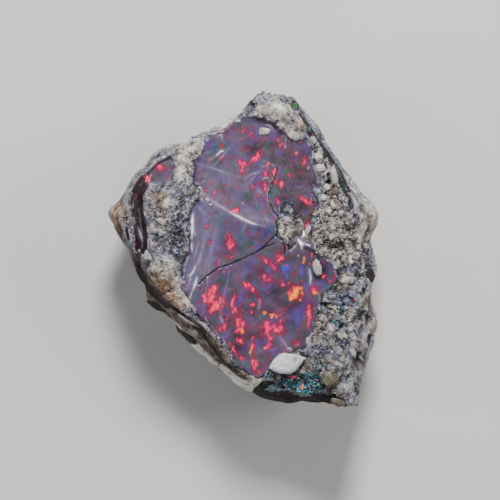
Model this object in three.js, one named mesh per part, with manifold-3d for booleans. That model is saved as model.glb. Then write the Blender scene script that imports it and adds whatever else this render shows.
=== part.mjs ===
// A piece of rough black opal, lying on its back with its broken glassy side up. The opal and the
// sandstone crust that it formed in have grown together, so the stone is one solid.
// Millimetres, +Z up. The origin is under the middle of the stone, on the flat that it rests on.

import * as THREE from "three";
import { mergeVertices } from "three/addons/utils/BufferGeometryUtils.js";
import Module from "manifold-3d";

// Levels of the stone, from the top down.
const CRUST_HEIGHT = 10.3; // the crust round the window
const SHOULDER_DROP = 1.2; // how far the crust rolls down from there to the edge of the top
const GIRTH_HEIGHT = 5.6; // where the stone is widest
const FOOT_RISE = 0.7; // the edge of the underside stands this far off the surface
const UNDERSIDE_DIP = 1.1; // the underside bulges this far below the seat before it is cut flat
const FOOT_SHARE = 0.76; // reach of the underside's edge, as a share of the widest outline's
const GIRTH_SHARE = 0.45; // the widest level's place down the flank, from 0 at the shoulder to 1

// How much those levels and that share wander from one side of the stone to another.
const SHOULDER_WANDER = 0.8;
const GIRTH_WANDER = 1.3;
const FOOT_WANDER = 0.1;
const WANDER_CIRCLE = 1.94; // the larger, the more ups and downs on the way round the stone

// Roughness of everything that isn't glassy.
const LUMP_SIZE = 3.4;
const LUMP_HEIGHT = 0.5;
const KNOB_SIZE = 1.6;
const KNOB_HEIGHT = 0.2;

// Fineness of the faceted surface.
const CELLS_ACROSS = 38;
const CELLS_DOWN = 10;
const BALL_DETAIL = 8;
const CORNER_ANGLE = -54; // direction of the sharp southern corner, where a corner of the grid lies

// Widest outline of the stone, clockwise from its northern tip, as [x, y].
const GIRTH = [
  [1.7, 13.6], [4.1, 13.4], [4.8, 12.5], [5.9, 10.9], [7.6, 8.5], [9.6, 5.7], [11.0, 3.9],
  [11.5, 2.2], [11.0, 0.8], [11.4, -1.4], [11.1, -3.2], [10.9, -4.4], [11.2, -5.8], [10.7, -8.1],
  [10.2, -10.1], [9.8, -11.5], [9.7, -13.2], [8.7, -13.6], [7.0, -13.2], [3.9, -13.2],
  [1.7, -12.7], [-0.4, -11.6], [-2.7, -9.7], [-4.8, -7.8], [-7.2, -5.6], [-8.7, -4.4],
  [-9.4, -2.3], [-10.1, 0.0], [-11.2, 1.8], [-11.5, 3.1], [-10.9, 4.1], [-10.1, 5.5],
  [-9.4, 6.7], [-8.2, 8.0], [-6.7, 9.1], [-5.0, 9.6], [-3.5, 10.3], [-1.9, 11.1], [-0.3, 11.8],
  [0.6, 12.9],
];

// Edge of the top, where the flanks begin.
const SHOULDER = [
  [1.5, 13.1], [3.9, 12.9], [4.5, 12.3], [5.2, 10.7], [6.7, 8.3], [8.3, 5.9], [9.8, 2.7],
  [9.9, 0.9], [10.3, -1.0], [9.9, -3.6], [9.2, -6.0], [9.0, -8.5], [9.2, -11.1], [9.2, -12.8],
  [8.4, -13.0], [6.9, -12.8], [4.7, -12.2], [2.6, -11.7], [0.6, -11.3], [-1.4, -9.9],
  [-3.8, -7.0], [-6.5, -4.7], [-7.9, -3.8], [-8.7, -2.6], [-9.3, -0.6], [-10.4, 1.9],
  [-10.7, 3.1], [-9.8, 5.0], [-8.7, 6.6], [-7.6, 7.9], [-6.2, 8.7], [-3.4, 9.9], [-0.4, 11.3],
  [0.5, 12.3],
];

// Main window, where the crust has broken away from the opal.
const WINDOW = [
  [-1.9, 10.4], [-0.1, 11.4], [1.0, 11.3], [2.9, 10.1], [5.1, 9.3], [5.7, 8.5], [5.9, 7.5],
  [6.5, 6.2], [6.0, 5.1], [6.2, 4.0], [5.2, 2.2], [5.9, -0.2], [6.9, -0.6], [7.7, -1.4],
  [7.9, -2.6], [6.7, -3.8], [6.5, -4.6], [6.0, -5.6], [5.8, -6.8], [5.2, -7.9], [3.4, -9.0],
  [2.5, -9.6], [2.2, -10.3], [1.3, -10.9], [0.1, -10.5], [-0.9, -9.9], [-1.4, -8.7],
  [-2.4, -7.4], [-4.2, -5.2], [-4.7, -4.2], [-5.3, -3.2], [-5.3, -1.5], [-4.8, -0.3],
  [-4.7, 3.1], [-3.8, 4.8], [-4.1, 6.0], [-4.1, 7.5], [-3.5, 8.7], [-3.0, 9.7],
];
const WINDOW_EDGE = 1.1; // width of the slope from the crust down to the opal
const LITTLE_WINDOW_EDGE = 0.6;

// Small second window near the western edge of the top.
const LITTLE_WINDOW = [
  [-8.4, 6.5], [-7.4, 7.6], [-6.4, 8.0], [-6.0, 7.3], [-6.3, 6.2], [-7.1, 5.6], [-8.2, 5.6],
];
const LITTLE_WINDOW_DROP = 0.55;

// Scoops that the opal broke along: the deepest point [x, y], the level there, and the radius that
// the hollow curves with. Ridges stand where two scoops meet.
const NORTH_SCOOP = { middle: [3.0, 12.0], level: 8.95, radius: 56 };
const WEST_SCOOP = { middle: [-2.2, -1.4], level: 9.6, radius: 52 };
const SOUTH_SCOOP = { middle: [1.6, -6.2], level: 9.1, radius: 36 };
const EAST_SCOOP = { middle: [4.8, 5.6], level: 9.1, radius: 34 };

// The crack that the southern scoop stops at, from west to east, and the curved step on the west
// of the eastern scoop, from south to north.
const CRACK = [
  [-5.6, -3.6], [-3.9, -2.9], [-3.3, -2.3], [-2.2, -1.5], [-0.1, -0.7], [1.0, -0.2], [2.4, 0.5],
  [3.6, 0.7], [5.2, 0.2], [8.0, -0.6],
];
const STEP = [[3.4, 2.2], [2.5, 3.3], [2.2, 4.0], [2.1, 4.8], [2.3, 5.6], [2.6, 6.3], [3.4, 8.6]];
const BREAK_WIDTH = 0.5; // half the width of the slope at a crack or step
const EASTERN_START = [1.5, 3.5]; // the eastern scoop fades in between these places along Y

// Long hollows in the top: a glassy groove, and two fissures where the outer rind parts.
const TRENCHES = [
  { path: [[-8.4, 6.0], [-9.0, 4.8], [-9.1, 3.6], [-8.8, 2.3], [-8.2, 0.0]], width: 0.55, depth: 0.6 },
  {
    path: [[-8.8, -1.2], [-8.1, -3.4], [-6.0, -5.0], [-3.5, -7.3], [-1.6, -9.8], [0.5, -11.2]],
    width: 0.4,
    depth: 0.55,
  },
  { path: [[4.5, 12.5], [5.7, 10.2], [7.4, 7.6], [8.7, 5.0], [9.0, 3.6]], width: 0.4, depth: 0.55 },
];

// Mounds and hollows on the top: middle [x, y], half sizes, turn in degrees and height. The middle
// of each one, up to this share of its half sizes, is level.
const MOUND_CROWN = 0.25;
const MOUNDS = [
  { middle: [3.7, 2.1], half: [1.15, 2.3], turn: -6, height: 1.15 }, // lump of sandstone in the window
  { middle: [3.7, -9.5], half: [1.6, 0.9], turn: 12, height: 0.7 }, // pale lens-shaped grain
  { middle: [2.8, 12.3], half: [2.3, 1.3], turn: -8, height: 0.6 }, // clay cap
  { middle: [1.8, 10.2], half: [0.7, 0.6], turn: 0, height: 0.5 },
  { middle: [7.9, 2.0], half: [1.5, 2.6], turn: 8, height: 0.6 }, // granular eastern crust
  { middle: [9.2, -0.7], half: [1.1, 1.4], turn: 0, height: 0.35 },
  { middle: [7.9, -9.4], half: [1.5, 3.6], turn: 3, height: 0.55 }, // long ridge in the south-east
  { middle: [7.0, -6.2], half: [1.5, 1.8], turn: 0, height: -0.4 },
  { middle: [3.6, -11.3], half: [2.6, 1.1], turn: -4, height: -0.5 }, // sunk strip of broken opal
  { middle: [7.5, 6.6], half: [0.5, 1.6], turn: 28, height: 0.4 },
  { middle: [-6.7, -1.4], half: [1.5, 2.2], turn: 12, height: 0.55 }, // western crust
  { middle: [-6.4, 3.2], half: [1.3, 2.2], turn: -8, height: 0.4 },
  { middle: [-5.6, 0.9], half: [0.8, 1.1], turn: 0, height: -0.45 },
  { middle: [-5.1, -6.3], half: [1.0, 1.5], turn: 48, height: 0.35 },
];

// Nodules that swell out of the flanks and the back: middle, radius and height.
const NODULES = [
  { middle: [-10.6, 3.0, 6.4], radius: 2.0, height: 0.35 },
  { middle: [-6.4, 7.6, 3.6], radius: 2.8, height: 0.9 },
  { middle: [-5.2, -7.4, 3.0], radius: 3.0, height: 0.8 },
  { middle: [3.0, -10.8, 2.6], radius: 3.2, height: 0.9 },
  { middle: [9.0, -6.0, 3.0], radius: 2.8, height: 0.7 },
  { middle: [9.4, 3.4, 2.6], radius: 2.6, height: 0.8 },
  { middle: [2.4, 11.0, 4.2], radius: 2.4, height: 0.6 },
];

// Flat breaks on the flanks and underside: the direction that each one faces, as azimuth and
// elevation in degrees, and the place that it passes through, as a share of the widest reach in
// that azimuth and a level.
const FLAT_BREAKS = [
  { azimuth: 34, elevation: -26, share: 0.94, level: 3.2 },
  { azimuth: 126, elevation: -34, share: 0.9, level: 2.6 },
  { azimuth: 172, elevation: -40, share: 0.86, level: 2.3 },
  { azimuth: 226, elevation: -24, share: 0.92, level: 3.0 },
  { azimuth: 300, elevation: -30, share: 0.92, level: 2.9 },
  { azimuth: 352, elevation: -44, share: 0.88, level: 1.9 },
  { azimuth: 219, elevation: 24, share: 0.98, level: 6.9 },
  { azimuth: 36, elevation: 20, share: 0.98, level: 7.2 },
];

// Shell-shaped scoops in the flanks and underside, each left by a ball: its middle and radius.
const SHELL_BREAKS = [
  { middle: [3.6, -17.0, 10.2], radius: 5.1 }, // dark southern flank
  { middle: [-12.6, -8.4, -1.4], radius: 7.8 }, // large scoops of the back
  { middle: [8.6, 13.4, -3.4], radius: 8.6 },
  { middle: [13.4, -10.8, -3.6], radius: 8.0 },
  { middle: [-10.2, 12.4, 1.2], radius: 5.6 },
  { middle: [-1.5, -17.6, -2.4], radius: 8.6 },
];

const DEGREE = Math.PI / 180;
const STONE_GREY = 0x6f6872;
const DULLNESS = 0.6;

// 0 below the low end, 1 above the high end, and an S-shaped rise between.
function rise(value, low, high) {
  const t = THREE.MathUtils.clamp((value - low) / (high - low), 0, 1);
  return t * t * (3 - 2 * t);
}

// Random value from -1 to 1 that belongs to a whole-numbered place.
function scatter(i, j, k) {
  const spread = Math.sin(i * 127.1 + j * 311.7 + k * 74.7) * 43758.5453;
  return 2 * (spread - Math.floor(spread)) - 1;
}

// Random values from -1 to 1 that change smoothly over a distance of about 1.
function noise(x, y, z) {
  const [i, j, k] = [Math.floor(x), Math.floor(y), Math.floor(z)];
  const [u, v, w] = [rise(x - i, 0, 1), rise(y - j, 0, 1), rise(z - k, 0, 1)];
  let sum = 0;
  for (let corner = 0; corner < 8; corner += 1) {
    const [a, b, c] = [corner & 1, (corner >> 1) & 1, corner >> 2];
    const weight = (a ? u : 1 - u) * (b ? v : 1 - v) * (c ? w : 1 - w);
    sum += weight * scatter(i + a, j + b, k + c);
  }
  return sum;
}

// Distance from a place to the nearest point of the stretch from a to b.
function distanceToStretch(x, y, [ax, ay], [bx, by]) {
  const [ex, ey] = [bx - ax, by - ay];
  const share = THREE.MathUtils.clamp(((x - ax) * ex + (y - ay) * ey) / (ex * ex + ey * ey), 0, 1);
  return Math.hypot(x - ax - share * ex, y - ay - share * ey);
}

// Distance from a place to an open path.
function distanceToPath(path, x, y) {
  const stretches = path.slice(1).map((end, i) => distanceToStretch(x, y, path[i], end));
  return Math.min(...stretches);
}

// Distance from a place to a closed outline: negative inside it.
function distanceToOutline(outline, x, y) {
  let inside = false;
  outline.forEach(([ax, ay], i) => {
    const [bx, by] = outline[(i + 1) % outline.length];
    if (ay > y !== by > y && x < ax + ((y - ay) / (by - ay)) * (bx - ax)) inside = !inside;
  });
  const distance = distanceToPath([...outline, outline[0]], x, y);
  return inside ? -distance : distance;
}

// How far an outline reaches from the origin in the direction of an angle.
function reach(outline, angle) {
  const [dx, dy] = [Math.cos(angle), Math.sin(angle)];
  let far = 0;
  outline.forEach(([ax, ay], i) => {
    const [bx, by] = outline[(i + 1) % outline.length];
    const [ex, ey] = [bx - ax, by - ay];
    const turn = dx * ey - dy * ex;
    const share = (ax * dy - ay * dx) / turn;
    if (share >= 0 && share <= 1) far = Math.max(far, (ax * ey - ay * ex) / turn);
  });
  return far;
}

// The value of a path's second number where its first number is given, as along a graph.
function alongGraph(points, place) {
  if (place <= points[0][0]) return points[0][1];
  const next = points.findIndex(([at]) => at >= place);
  if (next < 0) return points[points.length - 1][1];
  const [[a, from], [b, to]] = [points[next - 1], points[next]];
  return from + ((place - a) / (b - a)) * (to - from);
}

// Level of a shell-shaped scoop: a shallow bowl round its deepest point.
function scoopLevel({ middle, level, radius }, x, y) {
  const away = Math.hypot(x - middle[0], y - middle[1]);
  return level + (away * away) / (2 * radius);
}

// Level of the bare opal: the scoops cut each other, and steps part them at the crack and the curve.
function opalLevel(x, y) {
  const stepX = alongGraph(STEP.map(([sx, sy]) => [sy, sx]), y);
  const eastern = rise(x - stepX, -BREAK_WIDTH, BREAK_WIDTH) * rise(y, ...EASTERN_START);
  const southern = rise(alongGraph(CRACK, x) - y, -BREAK_WIDTH, BREAK_WIDTH);
  const north = Math.min(scoopLevel(NORTH_SCOOP, x, y), scoopLevel(WEST_SCOOP, x, y));
  const upper = THREE.MathUtils.lerp(north, scoopLevel(EAST_SCOOP, x, y), eastern);
  return THREE.MathUtils.lerp(upper, scoopLevel(SOUTH_SCOOP, x, y), southern);
}

// Height of one mound: a smooth dome over an oval, nothing outside it.
function moundHeight({ middle, half, turn, height }, x, y) {
  const [c, s] = [Math.cos(turn * DEGREE), Math.sin(turn * DEGREE)];
  const [dx, dy] = [x - middle[0], y - middle[1]];
  const away = Math.hypot((c * dx + s * dy) / half[0], (c * dy - s * dx) / half[1]);
  return height * (1 - rise(away, MOUND_CROWN, 1));
}

// Depth of one trench: deepest along its path, nothing beyond its width on either side.
function trenchDepth({ path, width, depth }, x, y) {
  return depth * (1 - rise(distanceToPath(path, x, y), 0, 2 * width));
}

// 0 inside the main window, 1 on the crust round it, and a slope between.
function besideMain(x, y) {
  return rise(distanceToOutline(WINDOW, x, y), -WINDOW_EDGE / 2, WINDOW_EDGE / 2);
}

// The same for the little window.
function besideLittle(x, y) {
  return rise(distanceToOutline(LITTLE_WINDOW, x, y), -LITTLE_WINDOW_EDGE / 2, LITTLE_WINDOW_EDGE / 2);
}

// How far a level wanders, from -1 to 1, on one side of the stone. Each level has a row of its own.
function wander(angle, row) {
  const [across, along] = [WANDER_CIRCLE * Math.cos(angle), WANDER_CIRCLE * Math.sin(angle)];
  return noise(across + 0.5, along + 0.5, row + 0.5);
}

// Level of the top, where share runs from 0 in its middle to 1 at the shoulder.
function topLevel(x, y, share) {
  const drop = SHOULDER_DROP + SHOULDER_WANDER * wander(Math.atan2(y, x), 0);
  const crust = CRUST_HEIGHT - drop * share ** 4;
  const main = THREE.MathUtils.lerp(opalLevel(x, y), crust, besideMain(x, y));
  const little = LITTLE_WINDOW_DROP * (1 - besideLittle(x, y));
  const mounds = MOUNDS.reduce((sum, mound) => sum + moundHeight(mound, x, y), 0);
  const trenches = TRENCHES.reduce((sum, trench) => sum + trenchDepth(trench, x, y), 0);
  return main - little + mounds - trenches;
}

// Turns a place on a square into an angle and a share: the square's rings become the stone's, and
// one of its corners comes to lie at the stone's sharp corner.
function ringOf(x, y) {
  const share = Math.max(Math.abs(x), Math.abs(y));
  if (share === 0) return [0, 0];
  const sideways = Math.abs(x) >= Math.abs(y);
  const half = (sideways ? x : y) < 0 ? Math.PI : 0;
  const angle = sideways ? (Math.PI / 4) * (y / x) : Math.PI / 2 - (Math.PI / 4) * (x / y);
  return [angle + half + Math.PI / 4 + CORNER_ANGLE * DEGREE, share];
}

// How far the underside reaches in the direction of an angle.
function footReach(angle) {
  return (FOOT_SHARE + FOOT_WANDER * wander(angle, 2)) * reach(GIRTH, angle);
}

// A place on the flank: down from the shoulder, out to the girth, and in again to the foot.
function flankPoint(angle, down) {
  const shoulder = reach(SHOULDER, angle);
  const girth = reach(GIRTH, angle);
  const girthLevel = GIRTH_HEIGHT + GIRTH_WANDER * wander(angle, 1);
  const top = topLevel(shoulder * Math.cos(angle), shoulder * Math.sin(angle), 1);
  const above = down < GIRTH_SHARE;
  const u = above ? down / GIRTH_SHARE : (down - GIRTH_SHARE) / (1 - GIRTH_SHARE);
  const turning = (u * Math.PI) / 2;
  const out = above ? (u + Math.sin(turning)) / 2 : (u + 1 - Math.cos(turning)) / 2;
  const drop = above ? (u + 1 - Math.cos(turning)) / 2 : (u + Math.sin(turning)) / 2;
  const radius = above
    ? THREE.MathUtils.lerp(shoulder, girth, out)
    : THREE.MathUtils.lerp(girth, footReach(angle), out);
  const level = above
    ? THREE.MathUtils.lerp(top, girthLevel, drop)
    : THREE.MathUtils.lerp(girthLevel, FOOT_RISE, drop);
  return new THREE.Vector3(radius * Math.cos(angle), radius * Math.sin(angle), level);
}

// Takes a place on a cube from -1 to 1 to its place on the smooth form of the stone.
function smoothPoint(x, y, z) {
  const [angle, share] = ringOf(x, y);
  const down = (1 - z) / 2;
  if (down > 0 && down < 1) return flankPoint(angle, down);
  const radius = share * (down === 0 ? reach(SHOULDER, angle) : footReach(angle));
  const [px, py] = [radius * Math.cos(angle), radius * Math.sin(angle)];
  if (down === 0) return new THREE.Vector3(px, py, topLevel(px, py, share));
  return new THREE.Vector3(px, py, FOOT_RISE - (FOOT_RISE + UNDERSIDE_DIP) * (1 - share * share));
}

// Adds lumps, knobs and nodules, which push the surface straight out of the stone.
function roughen(point, strength) {
  const { x, y, z } = point;
  const outward = new THREE.Vector3(x, y, 2 * (z - GIRTH_HEIGHT)).normalize();
  const lump = LUMP_HEIGHT * noise(x / LUMP_SIZE, y / LUMP_SIZE, z / LUMP_SIZE);
  const knob = KNOB_HEIGHT * noise(x / KNOB_SIZE, y / KNOB_SIZE, z / KNOB_SIZE);
  const swell = NODULES.reduce((sum, { middle, radius, height }) => {
    const away = Math.hypot(x - middle[0], y - middle[1], z - middle[2]);
    return sum + height * (1 - rise(away, 0, radius));
  }, 0);
  return point.addScaledVector(outward, strength * (lump + knob + swell));
}

// The stone before anything breaks off it: a grid of cells wrapped round it, as a closed surface.
function roughForm() {
  const box = new THREE.BoxGeometry(2, 2, 2, CELLS_ACROSS, CELLS_ACROSS, CELLS_DOWN);
  const form = sharedCorners(box);
  const places = form.getAttribute("position");
  for (let i = 0; i < places.count; i += 1) {
    const [x, y, z] = [places.getX(i), places.getY(i), places.getZ(i)];
    const point = smoothPoint(x, y, z);
    roughen(point, z === 1 ? besideMain(point.x, point.y) * besideLittle(point.x, point.y) : 1);
    places.setXYZ(i, point.x, point.y, point.z);
  }
  return form;
}

// Turns a closed surface into a solid.
function toSolid(wasm, geometry) {
  const mesh = new wasm.Mesh({
    numProp: 3,
    vertProperties: new Float32Array(geometry.getAttribute("position").array),
    triVerts: new Uint32Array(geometry.index.array),
  });
  return new wasm.Manifold(mesh);
}

// Turns a solid back into a surface.
function toGeometry(solid) {
  const mesh = solid.getMesh();
  const geometry = new THREE.BufferGeometry();
  geometry.setAttribute("position", new THREE.BufferAttribute(mesh.vertProperties, 3));
  geometry.setIndex(new THREE.BufferAttribute(mesh.triVerts, 1));
  geometry.computeVertexNormals();
  return geometry;
}

// Leaves only the places of a closed shape's corners, so that its faces share them.
function sharedCorners(geometry) {
  geometry.deleteAttribute("normal");
  geometry.deleteAttribute("uv");
  return mergeVertices(geometry);
}

// A block wider than the stone with the middle of its top at the origin, for what lies beyond a flat.
function block() {
  const width = 60;
  const depth = 8;
  return new THREE.BoxGeometry(width, width, depth).translate(0, 0, -depth / 2);
}

// What a flat break takes away: everything in front of its plane.
function beyondFlat({ azimuth, elevation, share, level }) {
  const angle = azimuth * DEGREE;
  const radius = share * reach(GIRTH, angle);
  return block()
    .rotateY((90 - elevation) * DEGREE + Math.PI)
    .rotateZ(angle)
    .translate(radius * Math.cos(angle), radius * Math.sin(angle), level);
}

// What a shell-shaped break takes away.
function insideShell({ middle, radius }) {
  return new THREE.IcosahedronGeometry(radius, BALL_DETAIL).translate(...middle);
}

const wasm = await Module();
wasm.setup();

const takenAway = [block(), ...FLAT_BREAKS.map(beyondFlat), ...SHELL_BREAKS.map(insideShell)];
const stone = takenAway.reduce(
  (solid, shape) => solid.subtract(toSolid(wasm, sharedCorners(shape))),
  toSolid(wasm, roughForm()),
);
const finish = new THREE.MeshStandardMaterial({ color: STONE_GREY, roughness: DULLNESS, metalness: 0 });
const mesh = new THREE.Mesh(toGeometry(stone), finish);
mesh.name = "rough_opal";

const model = new THREE.Group();
model.add(mesh);

export default model;
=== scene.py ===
"""A piece of rough black opal, dressed for rendering.

The stone lies on z = 0 with its broken glassy side up. Its surface is worked out as arrays from the
same outlines, levels and breaks as the solid's, on a much finer grid, and loose grains of sand and
larger pebbles are set into its crust. Lengths are in millimetres until a mesh is made.
"""

import logging
import math
from collections.abc import Sequence
from dataclasses import dataclass, field
from enum import Enum
from functools import cached_property

import bpy
import numpy as np
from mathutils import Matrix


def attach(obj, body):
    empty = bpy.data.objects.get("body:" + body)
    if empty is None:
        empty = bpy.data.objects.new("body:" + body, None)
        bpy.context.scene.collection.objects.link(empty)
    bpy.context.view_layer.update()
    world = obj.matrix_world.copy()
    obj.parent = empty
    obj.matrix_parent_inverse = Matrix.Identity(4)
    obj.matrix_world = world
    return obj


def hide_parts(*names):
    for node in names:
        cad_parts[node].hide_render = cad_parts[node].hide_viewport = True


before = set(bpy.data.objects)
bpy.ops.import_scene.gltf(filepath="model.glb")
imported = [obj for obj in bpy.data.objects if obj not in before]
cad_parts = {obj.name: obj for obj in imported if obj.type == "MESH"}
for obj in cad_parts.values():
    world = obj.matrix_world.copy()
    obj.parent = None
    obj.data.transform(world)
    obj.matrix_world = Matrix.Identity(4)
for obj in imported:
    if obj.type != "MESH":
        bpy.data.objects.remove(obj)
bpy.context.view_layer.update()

LOG = logging.getLogger("rough_opal")
MM = 0.001  # a millimetre in metres
FAR = 1e9  # further than any place lies

Array = np.ndarray
Path = Sequence[tuple[float, float]]
Spot = tuple[float, float, float, float, float, float]  # x, y, half sizes, turn in degrees, strength
Colour = tuple[float, float, float, float]

# ---------------------------------------------------------------- outlines and levels of the stone

# Widest outline, clockwise from the northern tip.
GIRTH = (
    (1.7, 13.6), (4.1, 13.4), (4.8, 12.5), (5.9, 10.9), (7.6, 8.5), (9.6, 5.7), (11, 3.9), (11.5, 2.2),
    (11, 0.8), (11.4, -1.4), (11.1, -3.2), (10.9, -4.4), (11.2, -5.8), (10.7, -8.1), (10.2, -10.1),
    (9.8, -11.5), (9.7, -13.2), (8.7, -13.6), (7, -13.2), (3.9, -13.2), (1.7, -12.7), (-0.4, -11.6),
    (-2.7, -9.7), (-4.8, -7.8), (-7.2, -5.6), (-8.7, -4.4), (-9.4, -2.3), (-10.1, 0), (-11.2, 1.8),
    (-11.5, 3.1), (-10.9, 4.1), (-10.1, 5.5), (-9.4, 6.7), (-8.2, 8), (-6.7, 9.1), (-5, 9.6), (-3.5, 10.3),
    (-1.9, 11.1), (-0.3, 11.8), (0.6, 12.9),
)

# Edge of the top, where the flanks begin.
SHOULDER = (
    (1.5, 13.1), (3.9, 12.9), (4.5, 12.3), (5.2, 10.7), (6.7, 8.3), (8.3, 5.9), (9.8, 2.7), (9.9, 0.9),
    (10.3, -1), (9.9, -3.6), (9.2, -6), (9, -8.5), (9.2, -11.1), (9.2, -12.8), (8.4, -13), (6.9, -12.8),
    (4.7, -12.2), (2.6, -11.7), (0.6, -11.3), (-1.4, -9.9), (-3.8, -7), (-6.5, -4.7), (-7.9, -3.8),
    (-8.7, -2.6), (-9.3, -0.6), (-10.4, 1.9), (-10.7, 3.1), (-9.8, 5), (-8.7, 6.6), (-7.6, 7.9),
    (-6.2, 8.7), (-3.4, 9.9), (-0.4, 11.3), (0.5, 12.3),
)

# Main window, where the crust has broken away from the opal.
WINDOW = (
    (-1.9, 10.4), (-1.1, 10.9), (-0.1, 11.4), (1, 11.4), (1.9, 11.15), (2.8, 10.8), (3.3, 10.2), (3.7, 9.7),
    (4.3, 9.4), (5.1, 9.3), (5.7, 8.5), (5.9, 7.5), (6.5, 6.2), (6, 5.1), (6.2, 4), (5.8, 3.1), (5.75, 2.2),
    (5.75, 1), (5.9, -0.2), (6.9, -0.6), (7.7, -1.4), (7.9, -2.6), (7.4, -3.2), (6.7, -3.8), (6.5, -4.6),
    (6, -5.6), (5.8, -6.8), (5.2, -7.9), (4.4, -8.5), (3.4, -9), (2.5, -9.6), (2.2, -10.3), (1.3, -10.9),
    (0.1, -10.5), (-0.9, -9.9), (-1.4, -8.7), (-2.4, -7.4), (-3.5, -6.2), (-4.2, -5.2), (-4.7, -4.2),
    (-5.3, -3.2), (-5.3, -1.5), (-4.8, -0.3), (-4.7, 1.5), (-4.7, 3.1), (-4.2, 3.9), (-3.8, 4.8), (-4.1, 6),
    (-4.1, 7.5), (-3.5, 8.7), (-3, 9.7),
)
LITTLE_WINDOW = (
    (-8.4, 6.5), (-7.4, 7.6), (-6.4, 8), (-6, 7.3), (-6.3, 6.2), (-7.1, 5.6), (-8.2, 5.6),
)
# Lump of sandstone that still sits on the opal.
ISLAND = (
    (3.4, 4.3), (4.1, 3.95), (4.5, 3.3), (4.75, 2.7), (5, 2.05), (4.8, 1.45), (4.4, 1.03), (4.32, 0.43),
    (3.89, 0.1), (3.63, 0.6), (3.2, 0.77), (2.78, 1.2), (2.86, 1.88), (2.69, 2.48), (3.12, 2.99),
    (3.12, 3.59),
)

# Crack that the southern scoop stops at, from west to east, and the curved step on the west of the
# eastern scoop, from south to north.
CRACK = (
    (-5.6, -3.6), (-3.9, -2.9), (-3.3, -2.3), (-2.2, -1.5), (-1.2, -1.2), (-0.1, -0.7), (1, -0.2),
    (1.8, 0.3), (2.4, 0.5), (3.6, 0.7), (5.2, 0.2), (8, -0.6),
)
STEP = (
    (3.4, 2.2), (3, 2.8), (2.5, 3.3), (2.2, 4), (2.1, 4.8), (2.3, 5.6), (2.6, 6.3), (2.8, 7.1), (3.4, 8.6),
)

# Long hollows in the top: a path, its width and its depth.
GROOVE = ((-8.6, 5.9), (-9.2, 4.8), (-9.2, 3.6), (-9, 2.3), (-8.8, 1), (-8.8, 0.2))
WEST_FISSURE = (
    (-9, -1.3), (-8.7, -2.2), (-8.1, -3.4), (-7.2, -4.3), (-6, -5), (-4.7, -6.1), (-3.5, -7.3),
    (-2.6, -8.5), (-1.6, -9.8), (-0.6, -10.7), (0.5, -11.2),
)
EAST_FISSURE = (
    (4.5, 12.5), (5, 11.5), (5.7, 10.2), (6.5, 8.8), (7.4, 7.6), (8.2, 6.2), (8.7, 5), (9, 3.6),
)
SOUTH_BREAK = ((1.4, -12.3), (3.5, -12.8), (6.4, -13.2), (8, -13.3))
TRENCHES = ((GROOVE, 0.5, 0.6), (WEST_FISSURE, 0.14, 0.4), (EAST_FISSURE, 0.15, 0.5))

# Skins of clay, rind and potch that stay smooth: a path and half the skin's width.
SKINS = (
    (((-10.9, 5), (-11.3, 3), (-10.6, 0.8), (-9.9, -1.4), (-8.8, -3.4), (-7.2, -5.2), (-5.4, -6.6),
     (-3.6, -8.2), (-1.8, -10), (0.2, -11.7), (2.2, -12.4)), 1),
    (((4.7, 12.8), (5.9, 10.6), (7.6, 8.4), (9.3, 5.6), (10.6, 3.4), (11, 1.4)), 0.8),
    (((0.6, -12.4), (3.5, -13.2), (7.5, -13.6)), 1.1),
)

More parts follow.
